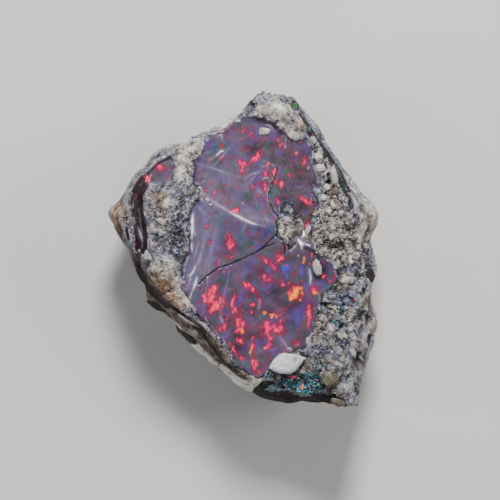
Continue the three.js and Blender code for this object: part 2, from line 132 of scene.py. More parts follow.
# Thin ridges on the opal's fracture, each with a painted highlight drawn along it: a path, half its width,
# and how bright the painted highlight is.
HIGHLIGHTED_RIDGES = (
    (((-3.6, 5), (-2.8, 4.2), (-1.8, 3.55), (-0.8, 2.97), (-0.1, 2.61), (0.6, 2.29), (1.2, 2.12),
     (1.9, 2)), 0.06, 0.6), (((-1.4, 3.3), (-0.8, 2.97), (-0.1, 2.61), (0.6, 2.29), (1.2, 2.12)), 0.12, 1),
    (((-4.36, 3.3), (-4.44, 2.6), (-4.44, 1.6), (-4.49, 0.9)), 0.13, 0.9),
    (((-4.5, 0.7), (-4.5, 0.3), (-4.45, -0.2)), 0.08, 0.7),
    (((-4.81, -2.34), (-4.4, -1.9), (-4.16, -1.3)), 0.08, 0.95),
    (((-4.42, -3.45), (-4.2, -2.9), (-4.03, -2.25)), 0.1, 0.95),
    (((-4.75, -4.4), (-4.6, -3.9), (-4.4, -3.4)), 0.07, 0.6),
    (((-5.2, -1.6), (-4.9, -0.9), (-4.65, -0.1)), 0.06, 0.5),
    (((-4.9, -3.2), (-4.65, -2.6), (-4.5, -2.1)), 0.05, 0.45),
    (((-4.4, -0.9), (-4.1, -0.1), (-3.9, 0.8)), 0.05, 0.35),
    (((-3.9, -0.6), (-3.6, 0.4), (-3.4, 1.5)), 0.04, 0.25),
    (((-4.2, -1.6), (-3.9, -0.9), (-3.7, -0.3)), 0.05, 0.4),
    (((-4.3, 4), (-3.7, 3.4), (-3.1, 2.8)), 0.05, 0.4),
    (((-2.5, 8), (-2.1, 8.35), (-1.7, 8.5)), 0.08, 0.85),
    (((-2.9, 6.9), (-1.9, 8), (-1.1, 8.9)), 0.04, 0.3), (((-4, 7.4), (-2.2, 6.8), (-0.4, 6.2)), 0.04, 0.5),
    (((0, 6.1), (0.7, 6.5), (1.5, 6.7)), 0.04, 0.45), (((0.1, 5.5), (0.8, 6.2), (1.6, 7.2)), 0.03, 0.3),
    (((-2.4, 9.7), (-2, 9.85), (-1.85, 9.4)), 0.06, 0.6), (((3, -7.4), (3.9, -8.6)), 0.05, 0.6),
    (((1.2, -5.1), (1.3, -4.3)), 0.04, 0.6), (((-1.8, -6.3), (-2.1, -5.6)), 0.05, 0.5),
    (((4.5, 1), (4.85, 0.5), (4.9, 0)), 0.15, 0.95), (((3.9, -0.2), (4.3, 0.3), (4.4, 0.8)), 0.06, 0.5),
    (((5.5, -1.5), (5.65, -2.3), (5.6, -3)), 0.1, 0.7),
    (((-2.3, 2.6), (-3, -1.4), (-3.5, -5.4)), 0.03, 0.3), (((-3.2, 1.5), (-3.9, -1.4)), 0.03, 0.35),
    (((-2.7, 0.8), (-3.5, -2.2)), 0.03, 0.3), (((-1.3, -1.8), (-2.2, -6)), 0.03, 0.25),
    (((0.2, 2.6), (-0.2, 1.4)), 0.03, 0.3), (((-0.8, 11.35), (0, 11.6), (0.9, 11.7)), 0.05, 0.8),
    (((1.7, 10.75), (2.2, 10.6), (2.5, 10.3)), 0.09, 0.8),
    (((-8.2, 5.65), (-7.6, 5.45), (-6.9, 5.5)), 0.17, 0.95),
    (((-9.1, 1.9), (-8.9, 1.4), (-8.75, 0.9)), 0.08, 0.9),
    (((5.2, 12), (6.3, 10.5), (7.5, 8.7), (8.9, 6.7)), 0.05, 0.6),
    (((5.6, 11.2), (6.6, 9.8), (7.6, 8.3)), 0.04, 0.5),
)
FINE_CRACKS = (
    ((-3.9, -2.9), (-3.3, -2.3), (-2.2, -1.5), (-1.2, -1.2), (-0.1, -0.7), (1, -0.2), (1.8, 0.3),
     (2.5, 0.55)), ((1.5, 0.1), (2.1, 0.75), (2.8, 1.4)),
    ((2.8, 7.1), (2.6, 6.3), (2.3, 5.6), (2.1, 4.8), (2.2, 4), (2.5, 3.3), (3, 2.8)),
    ((3.2, 0.8), (3.4, 0.3), (3.5, -0.3)),
)

# ---------------------------------------------------------------- arithmetic on whole arrays


def paint(red: int, green: int, blue: int) -> Colour:
    """Turns a display colour into the linear one that shaders work with.

    Args:
        red: Red from 0 to 255.
        green: Green from 0 to 255.
        blue: Blue from 0 to 255.

    Returns:
        The colour with full alpha. A channel c becomes ((c / 255 + 0.055) / 1.055) ** 2.4, or
        c / 255 / 12.92 where it is very dark.
    """
    shares = (channel / 255 for channel in (red, green, blue))
    linear = (s / 12.92 if s <= 0.04045 else ((s + 0.055) / 1.055) ** 2.4 for s in shares)
    return (*linear, 1.0)


def rise(value: Array, low: float, high: float) -> Array:
    """Smooth step.

    Args:
        value: Values to step.
        low: Where the rise starts.
        high: Where the rise ends.

    Returns:
        0 below low, 1 above high, and t * t * (3 - 2 * t) between, t being the share of the way.
    """
    t = np.clip((value - low) / (high - low), 0, 1)
    return t * t * (3 - 2 * t)


def blend(first: Array, second: Array, share: Array) -> Array:
    """Mixes two arrays, all the first at a share of 0 and all the second at 1."""
    return first + (second - first) * share


def turned(x: Array, y: Array, degrees: float) -> tuple[Array, Array]:
    """Turns places about the origin, anticlockwise."""
    c, s = math.cos(math.radians(degrees)), math.sin(math.radians(degrees))
    return c * x - s * y, s * x + c * y


def direction(azimuth: float, elevation: float) -> Array:
    """The way that an azimuth and an elevation in degrees point, as a vector of length 1."""
    angle, tilt = math.radians(azimuth), math.radians(elevation)
    return np.array([math.cos(tilt) * math.cos(angle), math.cos(tilt) * math.sin(angle), math.sin(tilt)])


def scatter(i: Array, j: Array, k: Array) -> Array:
    """Random values from -1 to 1 that belong to whole-numbered places: a sine's far decimals."""
    spread = np.sin(i * 127.1 + j * 311.7 + k * 74.7) * 43758.5453
    return 2 * (spread - np.floor(spread)) - 1


def noise(x: Array, y: Array, z: Array) -> Array:
    """Random values that change smoothly over a distance of about 1.

    Args:
        x: First coordinate.
        y: Second coordinate.
        z: Third coordinate.

    Returns:
        Values from -1 to 1: the scattered values of a unit cell's corners, weighted by smooth steps.
    """
    x, y, z = np.broadcast_arrays(x, y, z)
    i, j, k = np.floor(x), np.floor(y), np.floor(z)
    u, v, w = rise(x - i, 0, 1), rise(y - j, 0, 1), rise(z - k, 0, 1)
    total = np.zeros(x.shape)
    for c, b, a in np.ndindex(2, 2, 2):
        weight = (u if a else 1 - u) * (v if b else 1 - v) * (w if c else 1 - w)
        total += weight * scatter(i + a, j + b, k + c)
    return total


def noise_at(points: Array, size: float, seed: float = 0.0) -> Array:
    """Noise at points, changing over a distance of size. Another seed gives another pattern."""
    scaled = points / size + seed
    return noise(scaled[..., 0], scaled[..., 1], scaled[..., 2])


def packed_cells(points: Array, size: float) -> tuple[Array, Array]:
    """Cells packed together in space, each round a middle jittered inside a cubic grid's cell.

    Args:
        points: Places, one to a row.
        size: Spacing of the middles.

    Returns:
        The way from the nearest middle to each place, over the size, and three random values from
        -1 to 1 that belong to that cell.
    """
    scaled = points / size
    cell = np.floor(scaled)
    nearest = np.full(len(points), FAR)
    offset, chance = np.zeros(points.shape), np.zeros(points.shape)
    for step in np.ndindex(3, 3, 3):
        i, j, k = (cell + np.array(step) - 1).T
        own = np.stack([scatter(i, j, k), scatter(j, k, i + 7), scatter(k, i, j + 3)], axis=1)
        away = scaled - (np.stack([i, j, k], axis=1) + 0.5 + 0.4 * own)
        distance = (away**2).sum(1)
        closer = distance < nearest
        nearest = np.where(closer, distance, nearest)
        offset[closer], chance[closer] = away[closer], own[closer]
    return offset, chance


def cobbles(points: Array, size: float) -> Array:
    """Rounded bumps packed together: 1 less the square of the way from each cell's middle."""
    return 1 - (packed_cells(points, size)[0] ** 2).sum(1)


def shards(points: Array, size: float) -> Array:
    """Flat-faced lumps packed together: each cell is a plane with a tilt and level of its own."""
    offset, chance = packed_cells(points, size)
    return (offset * chance).sum(1) + 0.4 * chance[:, 1]


def along_path(path: Path, x: Array, y: Array) -> tuple[Array, Array]:
    """Finds the nearest place on an open path.

    Args:
        path: The path.
        x: First coordinate of the places.
        y: Second coordinate of the places.

    Returns:
        The distance to it, which is the least of those to the path's stretches, and how many
        stretches lie before it.
    """
    least, along = np.full(np.shape(x), FAR), np.zeros(np.shape(x))
    for number, ((ax, ay), (bx, by)) in enumerate(zip(path[:-1], path[1:])):
        ex, ey = bx - ax, by - ay
        share = np.clip(((x - ax) * ex + (y - ay) * ey) / (ex * ex + ey * ey), 0, 1)
        away = np.hypot(x - ax - share * ex, y - ay - share * ey)
        along = np.where(away < least, number + share, along)
        least = np.minimum(least, away)
    return least, along


def distance_to_path(path: Path, x: Array, y: Array) -> Array:
    """Distance from places to an open path."""
    return along_path(path, x, y)[0]


def beside_stroke(path: Path, half: float, x: Array, y: Array) -> Array:
    """Distance outside a stroke along a path, negative inside it.

    Args:
        path: The path.
        half: Half the stroke's width.
        x: First coordinate of the places.
        y: Second coordinate of the places.

    Returns:
        The distance to the path, less half the width times the root of the sine of the share of
        the way along it, so that the stroke thins out at both ends.
    """
    away, along = along_path(path, x, y)
    return away - half * np.sqrt(np.sin(math.pi * np.clip(along / (len(path) - 1), 0, 1)))


def distance_to_outline(outline: Path, x: Array, y: Array) -> Array:
    """Distance from places to a closed outline, negative inside it.

    Args:
        outline: Corners of the outline.
        x: First coordinate of the places.
        y: Second coordinate of the places.

    Returns:
        The distance to the outline's nearest side, whose sign turns at every side that a line
        towards larger x crosses.
    """
    sign = np.ones(np.shape(x))
    for (ax, ay), (bx, by) in zip(outline, (*outline[1:], outline[0])):
        if ay != by:
            crossed = ((ay > y) != (by > y)) & (x < ax + (y - ay) / (by - ay) * (bx - ax))
            sign = np.where(crossed, -sign, sign)
    return sign * distance_to_path((*outline, outline[0]), x, y)


def reach(outline: Path, angle: Array) -> Array:
    """How far an outline reaches from the origin in the direction of angles: the furthest crossing."""
    dx, dy = np.cos(angle), np.sin(angle)
    far = np.zeros(np.shape(angle))
    for (ax, ay), (bx, by) in zip(outline, (*outline[1:], outline[0])):
        ex, ey = bx - ax, by - ay
        turn = dx * ey - dy * ex
        turn = np.where(turn == 0, np.inf, turn)
        share = (ax * dy - ay * dx) / turn
        crossing = np.where((share >= 0) & (share <= 1), (ax * ey - ay * ex) / turn, 0)
        far = np.maximum(far, crossing)
    return far


def oval_at(spot: Spot, x: Array, y: Array) -> Array:
    """How far places lie from a spot's middle, its oval's edge being 1 away."""
    middle_x, middle_y, half_x, half_y, turn, _ = spot
    along, across = turned(x - middle_x, y - middle_y, -turn)
    return np.hypot(along / half_x, across / half_y)


def spots_at(spots: Sequence[Spot], x: Array, y: Array) -> Array:
    """Adds up oval spots that fade outwards: the sum of strength * exp(-away ** 2)."""
    total = np.zeros(np.shape(x))
    for spot in spots:
        total += spot[-1] * np.exp(-oval_at(spot, x, y) ** 2)
    return total


# ---------------------------------------------------------------- meshes


def mesh_object(name: str, points: Array, faces: Array, smooth: bool = True) -> bpy.types.Object:
    """Makes an object at the origin from triangles.

    Args:
        name: Name of the object and its mesh.
        points: Corners in millimetres, one to a row.
        faces: Three corner numbers to a row, anticlockwise from outside.
        smooth: Whether the faces are shaded smooth.

    Returns:
        The object, linked to the scene.
    """
    mesh = bpy.data.meshes.new(name)
    mesh.vertices.add(len(points))
    mesh.vertices.foreach_set("co", (points * MM).astype(np.float32).ravel())
    mesh.loops.add(faces.size)
    mesh.loops.foreach_set("vertex_index", faces.astype(np.int32).ravel())
    mesh.polygons.add(len(faces))
    mesh.polygons.foreach_set("loop_start", np.arange(0, faces.size, 3, dtype=np.int32))
    mesh.polygons.foreach_set("use_smooth", np.full(len(faces), smooth))
    mesh.update(calc_edges=True)
    piece = bpy.data.objects.new(name, mesh)
    bpy.context.scene.collection.objects.link(piece)
    return piece


def store_fields(piece: bpy.types.Object, name: str, fields: Sequence[Array]) -> None:
    """Keeps up to four values to a corner as a colour attribute.

    Args:
        piece: Object whose mesh gets the attribute.
        name: Name of the attribute.
        fields: Arrays of values, one for each channel.
    """
    attribute = piece.data.attributes.new(name, "FLOAT_COLOR", "POINT")
    values = np.ones((len(piece.data.vertices), 4), np.float32)
    values[:, :len(fields)] = np.stack(fields, axis=1)
    attribute.data.foreach_set("color", values.ravel())


def store_unwrapping(piece: bpy.types.Object, corners: Array) -> None:
    """Keeps the flat layout that finishes are baked on, one place to each corner of each face."""
    layer = piece.data.uv_layers.new(name="OFBake")
    layer.data.foreach_set("uv", corners.astype(np.float32).ravel())


def dress(piece: bpy.types.Object, material: bpy.types.Material) -> None:
    """Gives a piece its finish and makes it move with the stone's body."""
    piece.data.materials.append(material)
    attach(piece, "root")


def grid_numbers(cells: int) -> Array:
    """Numbers of a square grid's points, one row of the grid to a row."""
    return np.arange((cells + 1) ** 2).reshape(cells + 1, cells + 1)


def rim_of(cells: int) -> Array:
    """Numbers of a square grid's outer points, anticlockwise from its first corner."""
    numbers = grid_numbers(cells)
    return np.concatenate([numbers[0, :-1], numbers[:-1, -1], numbers[-1, :0:-1], numbers[:0:-1, 0]])


def sheet_faces(cells: int) -> Array:
    """Two triangles to each cell of a square grid, anticlockwise."""
    numbers = grid_numbers(cells)
    a, b = numbers[:-1, :-1].ravel(), numbers[:-1, 1:].ravel()
    c, d = numbers[1:, 1:].ravel(), numbers[1:, :-1].ravel()
    return np.concatenate([np.stack([a, b, c], 1), np.stack([a, c, d], 1)])


# ---------------------------------------------------------------- form of the stone


@dataclass
class StoneForm:
    """The stone's surface on a fine grid: a top, flanks and an underside that share their edges.

    The square grid of the top and that of the underside, which is half as fine, are turned into
    rings, and the flank between them has rings of its own.
    """

    cells: int = 224
    rows: int = 36
    crust_height: float = 10.3
    shoulder_drop: float = 1.2
    girth_height: float = 5.6
    foot_rise: float = 0.7
    underside_dip: float = 1.1
    foot_share: float = 0.76
    girth_share: float = 0.45
    shoulder_wander: float = 0.8
    girth_wander: float = 1.3
    foot_wander: float = 0.1
    wander_circle: float = 1.94
    window_edge: float = 0.75
    little_window_edge: float = 0.45
    little_window_drop: float = 0.55
    fine_crack_width: float = 0.2
    fine_crack_depth: float = 0.09
    break_width: float = 0.26
    corner_angle: float = math.radians(-54)
    lump_sizes: tuple[float, float] = (1.3, 0.62)
    # Deepest point, level there and radius of the scoops that the opal broke along.
    north_scoop: tuple[float, ...] = (3, 12, 8.95, 56)
    west_scoop: tuple[float, ...] = (-2.2, -1.4, 9.6, 52)
    south_scoop: tuple[float, ...] = (1.6, -6.2, 9.1, 36)
    east_scoop: tuple[float, ...] = (4.8, 5.6, 9.1, 34)
    # Middle, half sizes, turn and height of mounds and hollows on the top.
    mounds: tuple[Spot, ...] = (
        (3.7, 2.1, 0.95, 1.85, -6, 0.85), (3.7, -9.5, 1.6, 0.9, 12, 0.7), (2.8, 12.3, 2.3, 1.3, -8, 0.6),
        (7.9, 2, 1.5, 2.6, 8, 0.6), (9.2, -0.7, 1.1, 1.4, 0, 0.35), (7.9, -9.4, 1.5, 3.6, 3, 0.55),
        (7, -6.2, 1.5, 1.8, 0, -0.4), (3.6, -11.3, 2.6, 1.1, -4, -0.5), (7.5, 6.6, 0.5, 1.6, 28, 0.4),
        (-6.7, -1.4, 1.5, 2.2, 12, 0.55), (-6.4, 3.2, 1.3, 2.2, -8, 0.4), (-5.6, 0.9, 0.8, 1.1, 0, -0.45),
        (-5.1, -6.3, 1, 1.5, 48, 0.35),
    )
    # Middle, radius and height of nodules that swell out of the flanks.
    nodules: tuple[tuple[float, ...], ...] = (
        (-10.6, 3, 6.4, 2, 0.35), (-6.4, 7.6, 3.6, 2.8, 0.9), (-5.2, -7.4, 3, 3, 0.8),
        (3, -10.8, 2.6, 3.2, 0.9), (9, -6, 3, 2.8, 0.7), (9.4, 3.4, 2.6, 2.6, 0.8),
        (2.4, 11, 4.2, 2.4, 0.6),
    )
    # Azimuth and elevation that each flat break faces, share of the widest reach, and level.
    flat_breaks: tuple[tuple[float, ...], ...] = (
        (34, -26, 0.94, 3.2), (126, -34, 0.9, 2.6), (172, -40, 0.86, 2.3), (226, -24, 0.92, 3),
        (300, -30, 0.92, 2.9), (352, -44, 0.88, 1.9), (219, 24, 0.98, 6.9), (36, 20, 0.98, 7.2),
    )
    # Middle and radius of the ball that each shell-shaped break follows.
    shell_breaks: tuple[tuple[float, ...], ...] = (
        (3.6, -17, 10.2, 5.1), (-12.6, -8.4, -1.4, 7.8), (8.6, 13.4, -3.4, 8.6), (13.4, -10.8, -3.6, 8),
        (-10.2, 12.4, 1.2, 5.6), (-1.5, -17.6, -2.4, 8.6),
    )
    # Middle, radius, azimuth and reach of the lips of rind that stand out beyond the breaks.
    lips: tuple[tuple[float, ...], ...] = (
        (6, 9.9, 6.8, 3, 37, 0.7), (9.6, 4.6, 6.4, 2.6, 28, 0.3), (10.4, 3, 6.2, 1.9, 5, 0.7),
    )

    def rings(self, cells: int) -> tuple[Array, Array]:
        """Turns a square grid into rings.

        Args:
            cells: Cells along a side of the grid.

        Returns:
            The angle of each point, row by row, and its share of the way out. On a square from -1
            to 1, the share is the larger coordinate, and the angle runs evenly along each side.
        """
        steps = np.linspace(-1, 1, cells + 1)
        y, x = (values.ravel() for values in np.meshgrid(steps, steps, indexing="ij"))
        sideways = np.abs(x) >= np.abs(y)
        main, other = np.where(sideways, x, y), np.where(sideways, y, x)
        turn = math.pi / 4 * (other / np.where(main == 0, 1, main))
        angle = np.where(sideways, turn, math.pi / 2 - turn) + np.where(main < 0, math.pi, 0)
        return angle + math.pi / 4 + self.corner_angle, np.abs(main)

    def wander(self, angle: Array, row: int) -> Array:
        """How far a level wanders on the way round: noise along a circle, one row to each level."""
        circle = self.wander_circle
        return noise(circle * np.cos(angle) + 0.5, circle * np.sin(angle) + 0.5, np.float64(row + 0.5))

    def edge_wander(self, x: Array, y: Array) -> Array:
        """How far the crust's edge strays from its outline, for a torn edge."""
        return 0.2 * noise(x / 0.7, y / 0.7, 3.3) + 0.1 * noise(x / 0.28, y / 0.28, 5.1)

    def beside_main(self, x: Array, y: Array) -> Array:
        """0 inside the main window, 1 on the crust round it, and a slope between."""
        away = distance_to_outline(WINDOW, x, y) + self.edge_wander(x, y)
        return rise(away, -self.window_edge / 2, self.window_edge / 2)

    def beside_little(self, x: Array, y: Array) -> Array:
        """The same for the little window."""
        away = distance_to_outline(LITTLE_WINDOW, x, y)
        return rise(away, -self.little_window_edge / 2, self.little_window_edge / 2)

    def opal_level(self, x: Array, y: Array) -> Array:
        """Level of the bare opal.

        Args:
            x: First coordinate.
            y: Second coordinate.

        Returns:
            The level. A scoop rises from its deepest point by distance squared over twice its
            radius. The northern and western scoops cut each other, the eastern one takes over past
            the curved step, and the southern one past the crack.
        """

        def scoop(shape: tuple[float, ...]) -> Array:
            """Level of one scoop, with faint ripples round its deepest point."""
            away = np.hypot(x - shape[0], y - shape[1])
            ripple = 0.012 * np.sin(away * 5.2 + 1.5 * noise(x / 2, y / 2, 1.7))
            return shape[2] + away * away / (2 * shape[3]) + ripple

        width = self.break_width
        step_y, step_x = np.array([(py, px) for px, py in STEP]).T
        crack_x, crack_y = np.array(CRACK).T
        eastern = rise(x - np.interp(y, step_y, step_x), -width, width) * rise(y, -0.2, 1.8)
        southern = rise(np.interp(x, crack_x, crack_y) - y, -width, width)
        north = np.minimum(scoop(self.north_scoop), scoop(self.west_scoop))
        upper = blend(north, scoop(self.east_scoop), eastern)
        return blend(upper, scoop(self.south_scoop), southern) + self.flakes(x, y)

    def flakes(self, x: Array, y: Array) -> Array:
        """Low steps on the opal: slanted noise cut into terraces, and a faint ripple."""
        slanted = noise((x + 0.27 * y) / 0.9, (y - 0.27 * x) / 2.6, 8.2)
        terraces = 0.05 * rise(np.mod(slanted * 3, 1), 0.0, 0.25) - 0.05 * np.mod(slanted * 3, 1)
        return terraces + 0.02 * noise(x / 0.6, y / 1.1, 6.6)

    def top_level(self, x: Array, y: Array, share: Array) -> Array:
        """Level of the top.

        Args:
            x: First coordinate.
            y: Second coordinate.
            share: Share of the way from the middle to the shoulder.

        Returns:
            The crust's level, which drops towards the shoulder by share ** 4, or the opal's inside
            the window, with mounds, trenches and the little window's hollow.
        """
        drop = self.shoulder_drop + self.shoulder_wander * self.wander(np.arctan2(y, x), 0)
        crust = self.crust_height - drop * share**4
        level = blend(self.opal_level(x, y), crust, self.beside_main(x, y))
        level = level - self.little_window_drop * (1 - self.beside_little(x, y))
        for mound in self.mounds:
            level = level + mound[-1] * (1 - rise(oval_at(mound, x, y), 0.25, 1))
        for path, width, depth in TRENCHES:
            level = level - depth * (1 - rise(distance_to_path(path, x, y), 0, 2 * width))
        for path in FINE_CRACKS:
            cleft = 1 - rise(distance_to_path(path, x, y), 0, self.fine_crack_width)
            level = level - self.fine_crack_depth * cleft
        return level

    def top(self) -> tuple[Array, Array]:
        """The top's grid.

        Returns:
            Its points, row by row, and how rough each one is, from 0 on the opal to 1 on the crust.
        """
        angle, share = self.rings(self.cells)
        radius = share * reach(SHOULDER, angle)
        x, y = radius * np.cos(angle), radius * np.sin(angle)
        island = 1 - rise(distance_to_outline(ISLAND, x, y), -0.2, 0.2)
        rough = np.maximum(self.beside_main(x, y), island) * self.beside_little(x, y)
        for path, half in ((GROOVE, 0.7), (SOUTH_BREAK, 1.0)):
            rough = rough * (0.12 + 0.88 * rise(distance_to_path(path, x, y), 0.6 * half, 1.3 * half))
        return np.stack([x, y, self.top_level(x, y, share)], axis=1), rough

    def foot_reach(self, angle: Array) -> Array:
        """How far the underside reaches in the direction of angles."""
        share = self.foot_share + self.foot_wander * self.wander(angle, 2)
        return share * reach(GIRTH, angle)

    def flank(self, angle: Array, down: Array) -> Array:
        """Places on the flank.

        Args:
            angle: Direction of each place.
            down: Share of the way down, from 0 at the shoulder to 1 at the foot.

        Returns:
            The places. Above the girth and below it, the radius and the level follow curves
            halfway between a straight line and a quarter of an ellipse.
        """
        shoulder, girth = reach(SHOULDER, angle), reach(GIRTH, angle)
        girth_level = self.girth_height + self.girth_wander * self.wander(angle, 1)
        top = self.top_level(shoulder * np.cos(angle), shoulder * np.sin(angle), np.ones(len(angle)))
        above = down < self.girth_share
        u = np.where(above, down / self.girth_share, (down - self.girth_share) / (1 - self.girth_share))
        early, late = (u + np.sin(u * math.pi / 2)) / 2, (u + 1 - np.cos(u * math.pi / 2)) / 2
        radius = np.where(
            above, blend(shoulder, girth, early), blend(girth, self.foot_reach(angle), late)
        )
        level = np.where(
            above, blend(top, girth_level, late), blend(girth_level, self.foot_rise, early)
        )
        return np.stack([radius * np.cos(angle), radius * np.sin(angle), level], axis=1)

    def underside(self) -> Array:
        """The underside's grid, a bowl whose middle hangs lowest, row by row."""
        angle, share = self.rings(self.cells // 2)
        radius = share * self.foot_reach(angle)
        level = self.foot_rise - (self.foot_rise + self.underside_dip) * (1 - share**2)
        return np.stack([radius * np.cos(angle), radius * np.sin(angle), level], axis=1)

    def roughen(self, points: Array, rough: Array) -> Array:
        """Pushes the surface out by lumps, knobs, nodules and sandy grains.

        Args:
            points: Places on the smooth form.
            rough: How rough each one is.

        Returns:
            The places moved along the direction out of the stone. The sizes of the added noise go
            down from 3.4 to 0.2 millimetres, and its heights with them.
        """
        outward = points * (1, 1, 2) - (0, 0, 2 * self.girth_height)
        outward /= np.linalg.norm(outward, axis=1, keepdims=True)
        amount = 0.5 * noise_at(points, 3.4) + 0.2 * noise_at(points, 1.6)
        for *middle, radius, height in self.nodules:
            away = np.linalg.norm(points - np.array(middle), axis=1)
            amount += height * (1 - rise(away, 0, radius))
        amount += 0.14 * noise_at(points, 0.8, 4.7)
        fine = 0.09 * noise_at(points, 0.42, 9.1) + 0.06 * noise_at(points, 0.24, 13.3)
        fine += 0.16 * (cobbles(points, 1.5) - 0.8)
        amount += self.bareness(points) * fine
        large, small = (shards(points, size) for size in self.lump_sizes)
        amount += self.angularity(points) * (0.3 * large + 0.14 * small)
        return points + outward * (rough * amount)[:, None]

    def bareness(self, points: Array) -> Array:
        """1 on bare crust, less on the smooth skins."""
        share = np.ones(len(points))
        for path, half in SKINS:
            away = distance_to_path(path, points[:, 0], points[:, 1])
            share = share * (0.3 + 0.7 * rise(away, half, 1.6 * half))
        return share

    def angularity(self, points: Array) -> Array:
        """How broken into angular lumps the crust is: most in the east of the top."""
        x, _, z = points.T
        return self.bareness(points) * (0.3 + 0.7 * rise(x, 0.5, 4.5)) * (0.15 + 0.85 * rise(z, 4.5, 7))

    def break_off(self, points: Array) -> tuple[Array, Array]:
        """Takes away what lies beyond the flat breaks, inside the shell breaks and under the seat.

        Args:
            points: Places on the rough form.

        Returns:
            The places, set back onto a flat along its direction or onto a ball away from its
            middle, and how far each one was set back by a break.
        """
        start = points
        for azimuth, elevation, share, level in self.flat_breaks:
            radius = share * float(reach(GIRTH, np.array([math.radians(azimuth)]))[0])
            facing = direction(azimuth, elevation)
            place = radius * direction(azimuth, 0) + (0, 0, level)
            points = points - np.maximum((points - place) @ facing, 0)[:, None] * facing
        for *middle, radius in self.shell_breaks:
            offset = points - np.array(middle)
            away = np.linalg.norm(offset, axis=1, keepdims=True)
            ripple = 0.03 * np.sin(7 * np.linalg.norm(points - (0, 0, 4), axis=1, keepdims=True))
            points = points + offset * (np.maximum(radius + ripple - away, 0) / away)
        moved = np.linalg.norm(points - start, axis=1)
        for *middle, radius, azimuth, height in self.lips:
            away = np.linalg.norm((points - np.array(middle)) * (1, 1, 0.6), axis=1)
            share = height * (1 - rise(away, 0, radius))
            points = points + share[:, None] * direction(azimuth, 0)
        return np.maximum(points, (-FAR, -FAR, 0)), moved

    def surface(self) -> "Surface":
        """Joins the three parts.

        Returns:
            The whole surface: the top's points come first, then the flank's rings, then the
            underside's points. The flank's last ring meets the underside's rim, two cells to one.
        """
        top, top_rough = self.top()
        rim = rim_of(self.cells)
        around = len(rim)
        angle = self.rings(self.cells)[0][rim]
        down = np.repeat(np.arange(1, self.rows) / self.rows, around)
        flank = self.flank(np.tile(angle, self.rows - 1), down)
        under = self.underside()
        points = np.concatenate([top, flank, under])
        rough = np.concatenate([top_rough, np.ones(len(flank) + len(under))])
        large, small = (packed_cells(points, size)[1] for size in self.lump_sizes)
        angular = self.angularity(points)
        tone = 0.5 + angular * (0.34 * large[:, 0] + 0.22 * small[:, 0])
        hue = 0.5 + angular * (0.3 * large[:, 2] + 0.3 * small[:, 2])
        points, moved = self.break_off(self.roughen(points, rough))

        flank_start, under_start = len(top), len(top) + len(flank)
        rings = np.concatenate(
            [rim[None], flank_start + np.arange(len(flank)).reshape(self.rows - 1, around)]
        )
        upper, lower = rings[:-1], rings[1:]
        upper_next, lower_next = np.roll(upper, -1, axis=1), np.roll(lower, -1, axis=1)
        flank_cells = ([lower, lower_next, upper_next], [lower, upper_next, upper])
        flank_faces = np.concatenate([np.stack(cell, 2).reshape(-1, 3) for cell in flank_cells])
        foot = under_start + rim_of(self.cells // 2)
        foot_next = np.roll(foot, -1)
        first, middle, last = rings[-1, 0::2], rings[-1, 1::2], np.roll(rings[-1, 0::2], -1)
        joint_cells = ([foot, middle, first], [foot, foot_next, middle], [foot_next, last, middle])
        joint_faces = np.concatenate([np.stack(cell, 1) for cell in joint_cells])
        under_faces = under_start + sheet_faces(self.cells // 2)[:, ::-1]
        parts = [sheet_faces(self.cells), flank_faces, joint_faces, under_faces]
        regions = np.repeat(np.arange(4), [len(part) for part in parts])
        return Surface(points, np.concatenate(parts), regions, moved, tone, hue)


# Layout for baking, in shares of the unit square unless it says millimetres. The top and the
# underside lie as seen from above, and the flank in four strips, one above the other.
LAYOUT_ORIGIN = (11.65, 13.6)  # millimetres from the box's low corner
LAYOUT_HEIGHT = 11.1  # millimetres
LAYOUT_MARGIN = 0.01
TOP_SPAN = 44.2  # millimetres that would fill the square
UNDERSIDE_SPAN = (70.5, 84.5)  # millimetres that would fill the square
UNDERSIDE_CORNER = (0.01, 0.66)
STRIP_CORNER = (0.57, 0.01)
STRIP_SIZE = (0.41, 0.225)
STRIP_PITCH = 0.247 / 0.225  # from one strip to the next, in strips' heights

RELIEF_PASSES = 8


